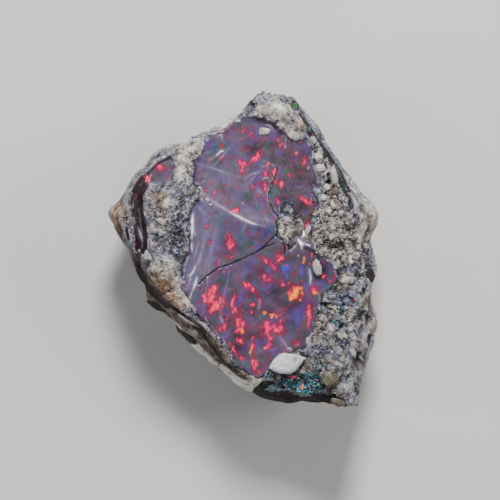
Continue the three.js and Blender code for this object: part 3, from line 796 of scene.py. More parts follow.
@dataclass
class Surface:
    """The stone's points and triangles, and what is known of each.

    Regions number the triangles' parts: 0 the top, 1 the flank, 2 its joint with the underside, and
    3 the underside.
    """

    points: Array
    faces: Array
    regions: Array
    moved: Array
    tone: Array
    hue: Array
    normals: Array = field(init=False)

    def __post_init__(self) -> None:
        """Works out the directions out of the stone: the sum of the triangles' round each point."""
        a, b, c = (self.points[self.faces[:, corner]] for corner in range(3))
        across = np.cross(b - a, c - a)
        total = np.zeros(self.points.shape)
        for corner, axis in np.ndindex(3, 3):
            total[:, axis] += np.bincount(self.faces[:, corner], across[:, axis], len(self.points))
        self.normals = total / np.maximum(np.linalg.norm(total, axis=1, keepdims=True), 1e-9)

    def relief(self) -> Array:
        """How far each point stands out of its surroundings.

        Returns:
            The distance in front of a smoothed surface, negative in hollows. Every pass of the
            smoothing moves each point to the mean of those that share a triangle's side with it.
        """
        start = self.faces.T.ravel()
        end = np.roll(self.faces, -1, axis=1).T.ravel()
        count = np.bincount(start, minlength=len(self.points))[:, None]
        smooth = self.points
        for _ in range(RELIEF_PASSES):
            total = [np.bincount(start, smooth[end, axis], len(self.points)) for axis in range(3)]
            smooth = np.stack(total, axis=1) / count
        return ((self.points - smooth) * self.normals).sum(axis=1)

    def unwrapping(self) -> Array:
        """Lays the surface out flat for baking.

        Returns:
            A place in the unit square for each triangle's corners. The top and the underside lie
            as seen from above, and the flank in four strips beside them, by angle and height.
        """
        corners = self.points[self.faces]
        flat = corners[..., :2] + LAYOUT_ORIGIN
        angle = np.arctan2(corners[..., 1], corners[..., 0])
        first = angle[:, :1]
        turn = np.mod(angle - first + math.pi, 2 * math.pi) - math.pi
        middle = first + turn.mean(axis=1, keepdims=True)
        quarter = np.floor(np.mod(middle, 2 * math.pi) / (math.pi / 2))
        along = np.mod(angle - quarter * math.pi / 2 + math.pi, 2 * math.pi) - math.pi
        height = np.clip(corners[..., 2] / LAYOUT_HEIGHT, 0, 1)
        strip = np.stack([along / (math.pi / 2), quarter * STRIP_PITCH + height], axis=2)
        places = STRIP_CORNER + strip * STRIP_SIZE
        top, under = self.regions == 0, self.regions == 3
        places[top] = (flat / TOP_SPAN + LAYOUT_MARGIN)[top]
        places[under] = (flat / UNDERSIDE_SPAN + UNDERSIDE_CORNER)[under]
        return places


# ---------------------------------------------------------------- where each mineral and flash lies


class Mineral(Enum):
    """What the stone's surface is made of in places, over its plain grey sand."""

    CLAY = "clay"
    BROWN_SAND = "brown sand"
    LAVENDER = "lavender"
    POTCH = "potch"
    TEAL = "teal opal"
    OCHRE = "ochre"
    INDIGO = "indigo"
    MAROON = "maroon opal"
    RIND = "brown rind"


class Fire(Enum):
    """Colours that flash inside the opal."""

    RED = "red"
    WARM = "warm"
    GREEN = "green"
    BLUE = "blue"


class Tint(Enum):
    """Ways in which the opal's body differs from place to place."""

    # Milky haze of the body, partly painted sheen.
    HAZE_AND_SHEEN = "haze_and_sheen"
    BROWN = "brown"
    DARK = "dark"
    BLUE = "blue"


# Oval spots of each mineral on the top: middle, half sizes, turn and strength.
MINERAL_SPOTS: dict[Mineral, tuple[Spot, ...]] = {
    Mineral.CLAY: (
        (2.2, 12, 1.5, 0.6, 8, 1.1), (3.2, 11.4, 0.9, 0.7, 30, 1), (4.6, 10.4, 0.5, 1, 0, 0.9),
        (4, 9.7, 0.8, 0.3, -15, 0.9), (1.8, 10.2, 0.5, 0.3, 0, 0.9), (-1.45, 10.85, 1, 0.4, 24, 1.3),
        (-4.8, 8.5, 1, 1, 0, 0.66), (-4.1, 8.9, 0.8, 0.8, 0, 0.5), (-6.9, -2.1, 1.3, 1.5, 35, 0.85),
        (-5.4, -4.2, 0.8, 1.2, 40, 0.8), (-7.2, 2.2, 0.8, 1.7, -8, 0.5), (-6.8, 4.4, 0.8, 0.8, 0, 0.5),
        (-5.7, 6.4, 0.6, 0.8, 20, 0.5), (4.3, 2.2, 0.5, 0.6, 0, 0.7), (4.1, 1.4, 0.5, 0.6, 0, 0.9),
        (3.3, 1.7, 0.4, 0.7, 0, 0.9), (0.3, -11.5, 1.1, 0.7, 20, 1.2), (1.5, -12.3, 0.7, 0.5, 0, 1.1),
        (10.6, 2.7, 0.8, 2.1, -8, 0.68), (10, 0.9, 0.8, 1.2, 0, 0.4), (10, -8.1, 0.6, 3.4, 6, 0.35),
        (10.4, -5.3, 0.5, 1.4, 0, 0.35), (8.6, -2.6, 0.6, 0.5, 0, 1), (9.2, -0.5, 0.4, 0.6, -12, 1.2),
        (5.9, -1, 0.3, 0.7, 0, 1.2), (-5.3, 7.1, 0.8, 1.1, 20, 0.62), (7.3, -6.7, 0.4, 0.5, 0, 1),
        (-8.8, -1, 0.3, 0.5, 0, 0.2), (9.4, 5.3, 0.3, 2.2, 33, 0.6), (-10.9, 3, 0.8, 1.6, 0, 0.56),
    ),
    Mineral.BROWN_SAND: (
        (8, 2.1, 1.4, 2.6, 8, 1.1), (6.6, 2.4, 0.9, 1.3, 0, 0.9), (7.3, 5.1, 0.7, 0.8, 0, 1),
        (6.3, -6.7, 0.8, 1.7, 8, 0.8), (6.9, -10.7, 0.9, 1.2, 0, 0.8), (8.2, -12.4, 0.8, 0.8, 0, 0.6),
        (5.3, 1.5, 0.4, 0.9, 0, 0.8), (7.1, 0, 1.2, 0.7, 0, 1), (6.3, -0.7, 0.7, 1, 0, 0.6),
        (7, 7.7, 0.8, 1.2, 30, 0.7), (9.2, -5.8, 0.6, 0.9, 40, 0.8), (7.6, -5.1, 0.6, 0.9, 0, 0.6),
    ),
    Mineral.LAVENDER: (
        (10.4, -0.2, 0.9, 1.9, 0, 1), (10, -2.6, 0.7, 1, 0, 0.9), (8.2, -4, 1.2, 0.8, -25, 0.8),
        (6.6, -4.3, 0.8, 0.5, 0, 0.8), (8.7, -8.5, 0.8, 2.6, 6, 0.9), (9, -11.5, 0.8, 1.9, 6, 1),
        (7.8, -7.9, 1, 1, 0, 0.6), (1.5, 13.2, 1, 0.5, 30, 1), (3.5, 13.1, 1, 0.4, 0, 1),
        (-7.9, -0.8, 0.6, 0.9, 0, 1), (-7.6, 4.6, 0.8, 0.9, 0, 0.4), (7.6, 8.1, 0.3, 3.4, 34, 0.9),
        (4.7, -9.1, 0.7, 0.5, 0, 0.7), (-5.7, 1, 0.8, 1.2, 0, 0.35),
    ),
    Mineral.POTCH: (
        (6.9, 8.2, 0.5, 0.8, 30, 0.46), (7.2, 6.1, 0.4, 0.9, 10, 0.5), (8.2, 5.6, 0.3, 0.9, 20, 0.36),
        (6.2, 6.1, 0.3, 0.6, 0, 0.6), (4.32, 12.39, 0.3, 0.4, 0, 1.3), (5.7, 10, 0.3, 0.6, 30, 1.2),
        (4.1, -12.6, 2.9, 0.8, -6, 1.3), (2.2, -11.9, 1, 0.6, -20, 1), (6, -13.2, 1.9, 0.4, 0, 1),
        (-7.6, -5, 0.9, 0.4, -42, 1.2), (-4.7, -7.6, 0.8, 0.26, -40, 1), (-6.4, -6.4, 1.2, 0.3, -38, 0.9),
        (-2.3, -10.4, 1.2, 0.3, -38, 0.7), (10.9, -2.2, 0.35, 0.6, 20, 1.2), (-10, 1.4, 0.16, 0.7, 14, 0.8),
        (-8.9, 0.6, 0.3, 1, 10, 0.9), (7.4, 7.7, 0.14, 1.2, 30, 0.6), (8.6, 5, 0.2, 1.4, 22, 0.5),
        (8.2, -6.4, 0.4, 0.3, 0, 0.7), (7.9, -12.4, 1, 0.3, 0, 0.3), (9.2, -4.3, 0.5, 0.3, -40, 0.6),
        (0.6, 12.6, 0.7, 0.3, -50, 0.6),
    ),
    Mineral.TEAL: (
        (4.1, -11.3, 2.2, 0.5, 16, 1.1), (5.4, -11.9, 1.2, 0.6, 10, 1.1), (2.4, -10.6, 0.7, 0.3, 10, 0.9),
        (8.2, -4.8, 0.4, 0.8, 10, 1), (7.8, -6.2, 0.4, 0.4, 0, 0.8), (5.7, 10.2, 0.3, 0.5, 0, 0.4),
        (8.6, 3.8, 0.3, 0.3, 0, 0.5), (8.2, -9, 0.3, 0.5, 0, 0.35),
    ),
    Mineral.OCHRE: (
        (10.7, 2.6, 0.8, 1.8, 0, 0.45), (-7, -2.8, 1, 1.3, 30, 1), (-5.9, -4.5, 0.7, 0.9, 40, 0.9),
        (-7.5, 4.4, 0.8, 0.9, -20, 0.8), (-6.9, 2.9, 0.7, 0.8, 0, 0.5), (-5, 8.2, 0.8, 1.3, 0, 0.4),
        (4.7, 10.4, 0.6, 0.6, 0, 1.1), (3.6, 11.6, 0.3, 0.3, 0, 0.5), (3.1, 10.6, 0.4, 0.3, 0, 0.8),
        (4.9, -11.8, 0.3, 0.3, 0, 0.8), (6.9, -10.9, 0.7, 0.9, 0, 0.7), (7.3, 5.1, 0.4, 0.6, 0, 0.4),
        (-4, -8.4, 0.3, 1, 42, 0.7), (-2.4, -9.6, 0.3, 0.7, 45, 0.5), (-10.9, 3.2, 0.9, 2, 0, 1.2),
        (-8.1, 1.2, 0.5, 0.9, 0, 0.3), (-5, 5.3, 0.6, 0.7, 0, 0.3),
    ),
    Mineral.INDIGO: (
        (3.8, 3.7, 0.7, 0.7, 0, 1.2), (0.4, 12.6, 0.7, 0.8, 0, 1.1), (2.2, 13.3, 1.6, 0.45, 0, 1.2),
        (3.9, 12.9, 0.6, 0.6, 0, 1.1), (-5.5, 6.1, 0.5, 0.4, 0, 1), (-5.9, -0.1, 0.6, 1.1, 10, 0.85),
        (-5.4, 3, 0.9, 1.2, 0, 0.5), (-5, 1.9, 0.6, 0.9, 0, 0.5), (10.3, -1, 0.8, 1, 0, 0.5),
        (9, -3.4, 0.9, 0.5, 0, 0.5), (-6.4, 2.1, 1.2, 2.6, 0, 0.25), (8.7, 2.9, 0.5, 0.7, 0, 0.3),
        (2, 13.2, 0.7, 0.3, 0, 0.4), (8.2, -10.7, 0.5, 0.9, 0, 0.3),
    ),
}

# Bands of a mineral along a path: the path and half the band's width.
MINERAL_BANDS: tuple[tuple[Mineral, Path, float], ...] = (
    (Mineral.MAROON, GROOVE, 0.62),
    (Mineral.MAROON, ((-8.9, 0.2), (-9.2, -0.8), (-8.9, -2), (-8.4, -3.1), (-7.5, -4), (-6.6, -4.7)), 0.36),
    (Mineral.POTCH, SOUTH_BREAK, 0.8),
    (Mineral.RIND, ((-10, -1), (-9, -2.9), (-7.6, -4.9), (-5.8, -6.2), (-4, -7.6), (-2.4, -9.2),
     (-0.9, -10.8)), 1.25), (Mineral.RIND, ((-11.2, 4.6), (-11.6, 3), (-11.1, 1.4)), 0.75),
    (Mineral.RIND, ((10.4, -4), (10.4, -7.5), (9.9, -10.5)), 0.7),
    (Mineral.CLAY, ((-1.9, -10.4), (-0.2, -11.6), (1.2, -12.5)), 0.7),
    (Mineral.CLAY, ((-7.4, -5.6), (-5.6, -6.9)), 0.35), (Mineral.CLAY, ((-4.3, -8.3), (-2.6, -9.9)), 0.42),
    (Mineral.INDIGO, ((0.3, 12.4), (0.9, 13.2), (2.6, 13.5), (4, 13.3)), 0.5),
    (Mineral.LAVENDER, ((4.9, 12.7), (5.9, 11), (7.6, 8.7), (9.4, 6), (10.7, 3.9)), 0.75),
    (Mineral.POTCH, ((4.8, 12.7), (6.1, 11.1), (7.7, 9), (9.1, 6.9), (10.2, 5)), 0.09),
    (Mineral.POTCH, ((4.7, 11.7), (5.6, 10.3), (7.1, 8.4), (8.2, 6.8), (9, 5)), 0.1),
)

# The same for the flashes in the opal.
FIRE_SPOTS: dict[Fire, tuple[Spot, ...]] = {
    Fire.RED: (
        (1, -6.8, 4.6, 4.2, 0, 0.17), (1.4, 7.6, 4.4, 3.6, 0, 0.11), (4.4, -1.6, 2.6, 1.6, 0, 0.12),
        (-2.69, -4.1, 0.68, 0.77, 0, 1), (-3.21, -4.02, 0.43, 0.34, 0, 1), (-2.09, -4.53, 0.51, 0.51, 0, 1),
        (-2.69, -3.33, 0.26, 0.43, 0, 0.9), (-2.78, -5.13, 0.34, 0.34, 0, 0.9),
        (-0.47, -6.15, 0.38, 1.03, 20, 1), (-1.92, -6.67, 0.38, 0.26, 20, 0.9),
        (-0.38, -7.78, 0.26, 0.26, 0, 0.9), (-0.98, -4.27, 0.17, 0.77, -12, 0.8),
        (-1.15, 0.43, 0.43, 0.6, 0, 0.9), (-1.24, 1.11, 0.17, 0.34, 0, 0.8),
        (-2.95, 0.68, 0.17, 0.26, 0, 0.7), (0.21, -2.99, 0.26, 0.21, 0, 0.8),
        (0.56, -3.25, 0.22, 0.6, 50, 1), (1.24, -4.19, 0.13, 0.51, 25, 0.6),
        (1.92, -2.39, 0.51, 0.3, -25, 0.95), (1.75, -0.85, 0.22, 0.68, 50, 1),
        (2.86, -0.6, 0.29, 0.51, 0, 1), (3.21, -0.68, 0.26, 0.17, 0, 0.8), (5.6, -1.2, 0.13, 0.13, 0, 0.8),
        (6.71, -2.26, 0.21, 0.21, 0, 1), (8.5, -1.54, 0.22, 0.17, 0, 0.9),
        (3.21, -2.99, 0.17, 0.17, 0, 0.9), (3.8, -2.82, 0.1, 0.1, 0, 0.8), (2.91, -2.7, 0.1, 0.1, 0, 0.8),
        (5.94, -3.33, 0.38, 0.34, 0, 0.9), (5.56, -5.21, 0.31, 0.68, 0, 1),
        (5.43, -6.41, 0.17, 0.38, 0, 0.95), (6.37, -4.87, 0.13, 0.1, 0, 0.7),
        (0.64, -4.7, 0.29, 0.21, 0, 0.6), (0.6, -5.3, 0.17, 0.17, 0, 0.6),
        (3.12, -5.38, 0.14, 0.38, -20, 0.6), (1.92, -6.58, 0.43, 0.51, 0, 1),
        (2.14, -7.52, 0.13, 0.51, 15, 0.9), (3.03, -6.84, 0.43, 0.47, 10, 1),
        (0.68, -8.29, 0.22, 0.43, 0, 1), (0.81, -9.57, 0.22, 0.56, 0, 1), (1.15, -10.43, 0.3, 0.21, 0, 0.7),
        (1.97, -9.15, 0.13, 0.26, 0, 0.7), (4.19, -7.86, 0.17, 0.17, 0, 0.8),
        (-0.3, -9.15, 0.13, 0.21, 0, 0.8), (-0.9, -8.55, 0.12, 0.68, 32, 0.9),
        (4.05, -10.6, 0.5, 0.36, 0, 1.3), (6.2, -11.2, 0.13, 0.17, 0, 0.9),
        (0.81, 0.26, 0.17, 0.13, 0, 0.5), (0.64, 9.83, 0.15, 0.43, 40, 0.7),
        (0.56, 10.6, 0.26, 0.26, 0, 0.4), (1.32, 9.4, 0.17, 0.15, 0, 0.5), (0.98, 7.95, 0.22, 0.68, -45, 1),
        (2.01, 7.35, 0.14, 0.27, -20, 0.9), (-0.13, 7.35, 0.31, 0.24, 0, 0.95),
        (-0.26, 6.67, 0.15, 0.36, 0, 0.9), (1.75, 6.58, 0.26, 0.26, 0, 1), (2.61, 6.67, 0.14, 0.34, 0, 0.8),
        (2.61, 5.9, 0.17, 0.26, 0, 0.8), (1.24, 5.64, 0.26, 0.21, 0, 0.8), (1.67, 5.21, 0.27, 0.31, 0, 0.8),
        (1.15, 4.62, 0.13, 0.26, 0, 0.6), (3.16, 5.64, 0.21, 0.29, 0, 0.9), (3.8, 6.41, 0.26, 0.21, 0, 0.5),
        (3.03, 8.97, 0.17, 0.17, 0, 0.5), (5.09, 7.69, 0.22, 0.43, -20, 0.6),
        (4.91, 6.67, 0.13, 0.26, 0, 0.6), (5.00, 4.36, 0.19, 0.56, 62, 1), (5.51, 4.02, 0.22, 0.22, 0, 1),
        (2.86, 4.23, 0.26, 0.26, 0, 0.45), (5.3, 2.14, 0.16, 0.51, -40, 1),
        (0.1, 11.75, 0.34, 0.15, -15, 0.6), (2.86, 10.43, 0.17, 0.17, 0, 0.5),
        (-2.44, 10.2, 0.1, 0.1, 0, 0.8), (-2.01, 9.95, 0.12, 0.12, 0, 0.8),
        (-1.95, 8.89, 0.13, 0.34, 10, 0.85), (-1.92, 7.86, 0.2, 0.26, 0, 0.9),
        (-0.81, 7.99, 0.17, 0.13, 0, 0.6), (-3.12, 8.89, 0.13, 0.17, 0, 0.5),
        (-2.82, 5.64, 0.17, 0.17, 0, 0.7), (-2.56, 4.87, 0.13, 0.26, 0, 0.5),
        (-1.07, 4.87, 0.1, 0.1, 0, 0.6), (-0.49, 5.3, 0.13, 0.13, 0, 0.5), (-0.77, 3.38, 0.37, 0.29, 20, 1),
        (-3.21, 1.97, 0.13, 0.34, -20, 0.9), (-0.94, 4.44, 0.14, 0.12, 0, 0.5),
        (-7.14, 7.05, 0.39, 0.31, 0, 1), (-8.29, 6.07, 0.36, 0.36, 0, 1), (-8.87, 3.53, 0.1, 0.1, 0, 0.8),
        (4.4, -3.68, 0.6, 0.64, 0, 1), (-0.38, -10.09, 0.17, 0.17, 0, 0.5),
        (1.5, -8.72, 0.17, 0.17, 0, 0.4), (-1.67, -3.42, 0.1, 0.26, -12, 0.4),
        (-2.18, -1.03, 0.13, 0.34, -12, 0.4),
    ),
    Fire.WARM: (
        (1.9, -6.6, 3, 3.4, 20, 0.2), (4.4, 7.6, 1.6, 2, 0, 0.2), (4.9, -0.9, 1.2, 0.7, 0, 0.1),
        (4.06, -4, 0.26, 0.5, -30, 1.2), (4.5, -3.55, 0.26, 0.46, -10, 1.2), (4.9, -3.6, 0.14, 0.5, 8, 1.1),
        (4.75, -4.3, 0.16, 0.2, 0, 0.8), (4.57, -0.51, 0.12, 0.28, 0, 0.8), (5.1, -0.7, 0.12, 0.26, 0, 0.8),
        (6.03, -3.68, 0.26, 0.26, 0, 0.9), (5.56, -5.04, 0.15, 0.43, 0, 0.9),
        (5.77, -0.51, 0.12, 0.26, 0, 1), (4.91, -1.03, 0.43, 0.26, 0, 0.55),
        (-1.71, -1.88, 0.21, 0.21, 0, 0.9), (-0.38, -6.41, 0.17, 0.68, 20, 0.75),
        (-0.21, -7.09, 0.17, 0.21, 0, 0.8), (-0.38, -7.78, 0.17, 0.17, 0, 0.8),
        (-0.98, -8.21, 0.11, 0.34, 32, 0.9), (1.75, -5.38, 0.31, 0.24, 0, 0.7),
        (2.52, -5.64, 0.34, 0.29, 0, 0.8), (0.64, -8.46, 0.14, 0.26, 0, 0.8),
        (0.47, -8.8, 0.14, 0.14, 0, 0.8), (0.81, -9.66, 0.12, 0.38, 0, 0.8),
        (1.71, -8.38, 0.17, 0.15, 0, 0.8), (-0.3, 9.49, 0.17, 0.24, 0, 1.1),
        (-2.01, 9.95, 0.1, 0.1, 0, 0.6), (4.4, 8.29, 0.19, 0.19, 0, 0.9), (5.47, 7.01, 0.17, 0.21, 0, 0.8),
        (5.09, 7.86, 0.17, 0.34, -20, 0.5), (4.91, -11.71, 0.22, 0.34, 0, 0.9),
        (2.01, 7.44, 0.1, 0.17, 0, 0.6), (5.3, 2.22, 0.1, 0.34, -40, 0.7), (-0.81, 7.99, 0.13, 0.1, 0, 0.5),
        (4.57, 10.43, 0.34, 0.34, 0, 0.35), (4.19, -7.78, 0.1, 0.1, 0, 0.6),
        (-1.92, -6.67, 0.17, 0.14, 0, 0.5), (3.03, -0.68, 0.13, 0.26, 0, 0.3),
    ),
    Fire.GREEN: (
        (1.2, -9.2, 3, 1.2, 0, 0.36), (3.8, 6, 2.4, 2.6, 0, 0.42), (3.3, -1.45, 0.62, 0.55, 0, 0.5),
        (0.9, 3.6, 0.5, 0.4, 0, 0.6), (6.2, 9.2, 0.2, 0.3, 30, 0.9), (7.9, 7.1, 0.16, 0.4, 30, 0.8),
        (0.4, -9.9, 2.2, 0.5, 10, 0.35), (-3.46, -2.39, 0.32, 0.17, -20, 1),
        (1.7, 8.72, 0.17, 0.17, 0, 0.8), (3.55, 6.8, 0.14, 0.19, 0, 1), (4.32, 12.39, 0.26, 0.34, 0, 1.15),
        (5.5, 10.35, 0.24, 0.34, 20, 0.8), (5.9, 9.6, 0.16, 0.4, 30, 0.8),
        (5.26, 9.53, 0.14, 0.34, 30, 0.8), (8.44, 5.21, 0.17, 0.43, 10, 0.7),
        (2.64, 5.04, 0.17, 0.29, 0, 0.7), (1.24, -8.55, 0.17, 0.17, 0, 0.7),
        (-0.56, -9.57, 0.26, 0.17, 0, 0.5), (3.03, -8.46, 0.34, 0.21, 0, 0.35),
        (1.41, -10.6, 0.26, 0.15, 0, 0.7), (-1.32, -2.22, 0.26, 0.17, 0, 0.4),
        (0.56, -8.97, 0.14, 0.17, 0, 0.5), (0.04, -8.8, 0.17, 0.17, 0, 0.35),
    ),
    Fire.BLUE: (
        (3.52, -1.52, 0.27, 0.25, 0, 1.7), (3.33, -1.54, 0.56, 0.43, 0, 0.5),
        (4.5, -5.81, 0.6, 1.7, 0, 0.62), (4.95, -1.9, 0.34, 1, 0, 0.45), (-3.38, -6.67, 0.77, 0.6, 35, 0.5),
        (-1.92, -8.55, 0.68, 0.43, 45, 0.5), (-0.38, -10.34, 0.85, 0.34, 15, 0.55),
        (1.58, -10.09, 0.6, 0.34, 0, 0.55), (3.03, 8.21, 0.26, 0.38, 0, 0.6),
        (5.17, 3.25, 0.29, 0.6, 0, 0.6), (4.74, -1.71, 0.34, 0.68, 0, 0.4),
        (7.31, -1.54, 0.51, 0.6, 0, 0.45), (0.04, 8.97, 0.29, 0.34, 0, 0.4),
        (-1.15, 7.52, 0.6, 0.85, 0, 0.25), (-0.73, 2.39, 1.37, 0.43, 25, 0.25),
        (-1.41, -2.39, 0.77, 0.19, -15, 0.4), (0.56, 4.27, 0.43, 0.43, 0, 0.35),
        (4.27, 5.86, 0.1, 0.1, 0, 0.6), (-3.12, 3.42, 0.34, 0.68, -15, 0.2),
        (-3.8, 1.11, 0.34, 0.85, -10, 0.3), (-1.67, -4.44, 0.43, 0.51, 0, 0.3),
        (2.26, -4.27, 0.51, 0.68, 0, 0.2), (0.47, -1.03, 0.68, 0.34, -25, 0.25),
        (5.85, -2.56, 0.43, 0.51, 0, 0.3), (4.66, 0.00, 0.26, 0.51, 0, 0.3),
        (0.21, -7.26, 0.26, 0.26, 0, 0.4),
    ),
}

# The same for the opal's body.
TINT_SPOTS: dict[Tint, tuple[Spot, ...]] = {
    # Haze spots: partly the body's milky look, partly painted sheen beside the ridges and along the
    # window's left edge.
    Tint.HAZE_AND_SHEEN: (
        (-3.4, 1.6, 1.2, 3.6, 0, 0.8), (-2, 3.6, 2.2, 0.8, -28, 0.6), (0.8, 3, 1.4, 0.7, -10, 0.5),
        (-4.2, -2.2, 0.8, 1.8, 10, 0.5), (-1.4, 6.2, 2.4, 1.2, 15, 0.35), (3.6, 6.2, 1.2, 2, 0, 0.3),
        (-0.6, -1.9, 2.2, 0.5, -25, 0.3), (-8.3, 5.9, 0.5, 0.3, 0, 0.5),
    ),
    Tint.BROWN: (
        (5.4, 1.6, 0.6, 1.5, 0, 0.9), (4.3, 6.6, 1.5, 3.2, 10, 0.9), (3.4, 9.2, 1.6, 0.9, -15, 0.6),
        (5.2, 3, 0.7, 2, 0, 0.7), (1.4, -9.6, 1.6, 1.2, 30, 0.5), (1.6, 5.4, 1, 1.6, 0, 0.35),
        (4.6, -7.6, 1.2, 0.9, 30, 0.5),
    ),
    Tint.DARK: (
        (6.2, -1.6, 0.7, 1.4, 0, 0.9), (5, 3.6, 0.6, 0.9, 0, 0.8), (0.4, -5.2, 2.6, 2.6, 0, 0.2),
        (2.6, -3.6, 1.6, 2.2, 0, 0.35), (2.6, 10.6, 1.4, 0.35, -20, 0.7), (3.4, 4.6, 0.9, 1.6, 0, 0.6),
        (4.6, 7.2, 1.5, 2.2, 0, 0.4), (1.4, 8.6, 1.6, 1, -20, 0.35), (-0.4, -8.4, 1.8, 1.6, 40, 0.7),
        (4.6, -5.6, 1.3, 2, 0, 0.4), (0.6, 0.8, 1.6, 0.5, 25, 0.35), (-2.4, -6.2, 1.4, 0.9, 40, 0.3),
    ),
    Tint.BLUE: (
        (6.3, -1.9, 0.8, 1.3, 0, 0.9), (0.2, -4.8, 2.2, 1.8, 0, 0.4), (0.6, 2, 1.4, 0.6, -10, 0.8),
        (-3.2, -6.4, 1.1, 0.9, 40, 0.6), (3.2, -1.6, 0.9, 0.8, 0, 0.6), (4.4, -5.8, 0.6, 1.6, 0, 0.7),
        (-3.6, 1, 0.9, 2.6, 0, 0.4), (2.4, 8.4, 0.9, 0.9, 0, 0.4), (-0.2, -10.2, 1, 0.5, 10, 0.6),
        (0.4, 9.2, 0.6, 0.6, 0, 0.4), (5.1, 3.2, 0.3, 0.7, 0, 0.5),
    ),
}


@dataclass
class SurfaceFields:
    """Fields over the stone's points, which its finish is mixed by."""

    surface: Surface
    form: StoneForm

    @cached_property
    def places(self) -> Array:
        """The points' three coordinates, one to a row."""
        return self.surface.points.T

    @cached_property
    def upward(self) -> Array:
        """1 on the top, fading to 0 low on the flanks."""
        return rise(self.places[2], 2.8, 4.8)

    @cached_property
    def glass_edges(self) -> tuple[Array, Array]:
        """Distances outside the windows.

        Returns:
            The distance outside the main window, in which the sandstone island counts as outside,
            and that outside the little one. Low on the stone both grow by a few millimetres.
        """
        x, y, z = self.places
        low = 3 * (1 - rise(z, 7.0, 8.0))
        main = np.maximum(distance_to_outline(WINDOW, x, y), -distance_to_outline(ISLAND, x, y))
        little = distance_to_outline(LITTLE_WINDOW, x, y)
        return main + self.form.edge_wander(x, y) + low, little + low

    @cached_property
    def broken(self) -> Array:
        """1 where a break left bare potch, in patches: shells wholly, flats in part."""
        share = rise(self.surface.moved, 0.02, 0.1) * (1 - self.upward)
        return share * rise(noise_at(self.surface.points, 3.2, 7.7), -0.35, 0.05)

    @cached_property
    def minerals(self) -> dict[Mineral, Array]:
        """How much of each mineral there is.

        Returns:
            Spots and bands on the top, and patches of noise on the flanks and underside.
        """
        x, y, _ = self.places
        points, top = self.surface.points, self.upward
        whole = (1 - top) * (1 - self.broken)
        amounts = {
            mineral: top * spots_at(MINERAL_SPOTS.get(mineral, ()), x, y) for mineral in Mineral
        }
        first, second = noise_at(points, 2.9, 11.3), noise_at(points, 2.3, 31.9)
        third, fourth = noise_at(points, 1.8, 57.1), noise_at(points, 1.2, 83.4)
        patches = (
            (Mineral.CLAY, first, 0.1, 0.55, 1.0), (Mineral.BROWN_SAND, -first, 0.1, 0.5, 1.0),
            (Mineral.LAVENDER, second, 0.05, 0.5, 0.9), (Mineral.INDIGO, -second, 0.2, 0.55, 0.8),
            (Mineral.OCHRE, third, 0.2, 0.6, 0.9), (Mineral.RIND, -third, 0.1, 0.5, 0.9),
        )
        for mineral, chance, low, high, most in patches:
            amounts[mineral] += whole * rise(chance, low, high) * most
        amounts[Mineral.POTCH] += self.broken * 1.2
        amounts[Mineral.TEAL] += self.broken * rise(fourth, 0.25, 0.55) * 1.1
        for mineral, path, half in MINERAL_BANDS:
            band = 1 - rise(distance_to_path(path, x, y), 0.4 * half, 1.3 * half)
            amounts[mineral] = np.maximum(amounts[mineral], top * band)
        return amounts

    @cached_property
    def flashes(self) -> list[Array]:
        """How strong each colour of flash is: spots on the top, and small ones in the potch."""
        x, y, _ = self.places
        amounts = []
        for number, fire in enumerate(Fire):
            deep = rise(noise_at(self.surface.points, 0.9, 17.3 + 9 * number), 0.45, 0.75)
            spots = spots_at(FIRE_SPOTS[fire], x, y)
            amounts.append(self.upward * spots + 0.3 * self.broken * deep)
        return amounts

    @cached_property
    def tints(self) -> list[Array]:
        """How strong each tint of the opal's body is."""
        x, y, _ = self.places
        return [spots_at(TINT_SPOTS[tint], x, y) for tint in Tint]

    @cached_property
    def lines(self) -> list[Array]:
        """Where the lines run on the top.

        Returns:
            The distance outside the nearest ridge, that from the nearest thin crack, 1 in the
            fissures, and the strength of the nearest ridge's painted highlight. Distances stop
            at half a millimetre.
        """
        x, y, _ = self.places
        beside, pale = np.full(len(x), 0.5), np.zeros(len(x))
        for path, half, highlight_strength in HIGHLIGHTED_RIDGES:
            away = beside_stroke(path, half, x, y)
            pale = np.where(away < beside, highlight_strength, pale)
            beside = np.minimum(beside, away)
        cracks = np.full(len(x), 0.5)
        for path in FINE_CRACKS:
            cracks = np.minimum(cracks, distance_to_path(path, x, y))
        fissures = np.zeros(len(x))
        for path, width, _ in TRENCHES[1:]:
            fissures = np.maximum(fissures, 1 - rise(distance_to_path(path, x, y), 0, 2 * width))
        low = 1 - self.upward
        return [beside + low, cracks + low, self.upward * fissures, pale]

    def store(self, piece: bpy.types.Object) -> None:
        """Keeps the fields as attributes of the stone's mesh, in the order that the finish reads."""
        amounts = [self.minerals[mineral] for mineral in Mineral]
        store_fields(piece, "form", [*self.glass_edges, self.surface.relief()])
        store_fields(piece, "mineral_a", amounts[:4])
        store_fields(piece, "mineral_b", amounts[4:8])
        store_fields(piece, "mineral_c", [*amounts[8:], self.surface.tone, self.surface.hue])
        store_fields(piece, "flash", self.flashes)
        store_fields(piece, "tint", self.tints)
        store_fields(piece, "line", self.lines)


# ---------------------------------------------------------------- shader graphs


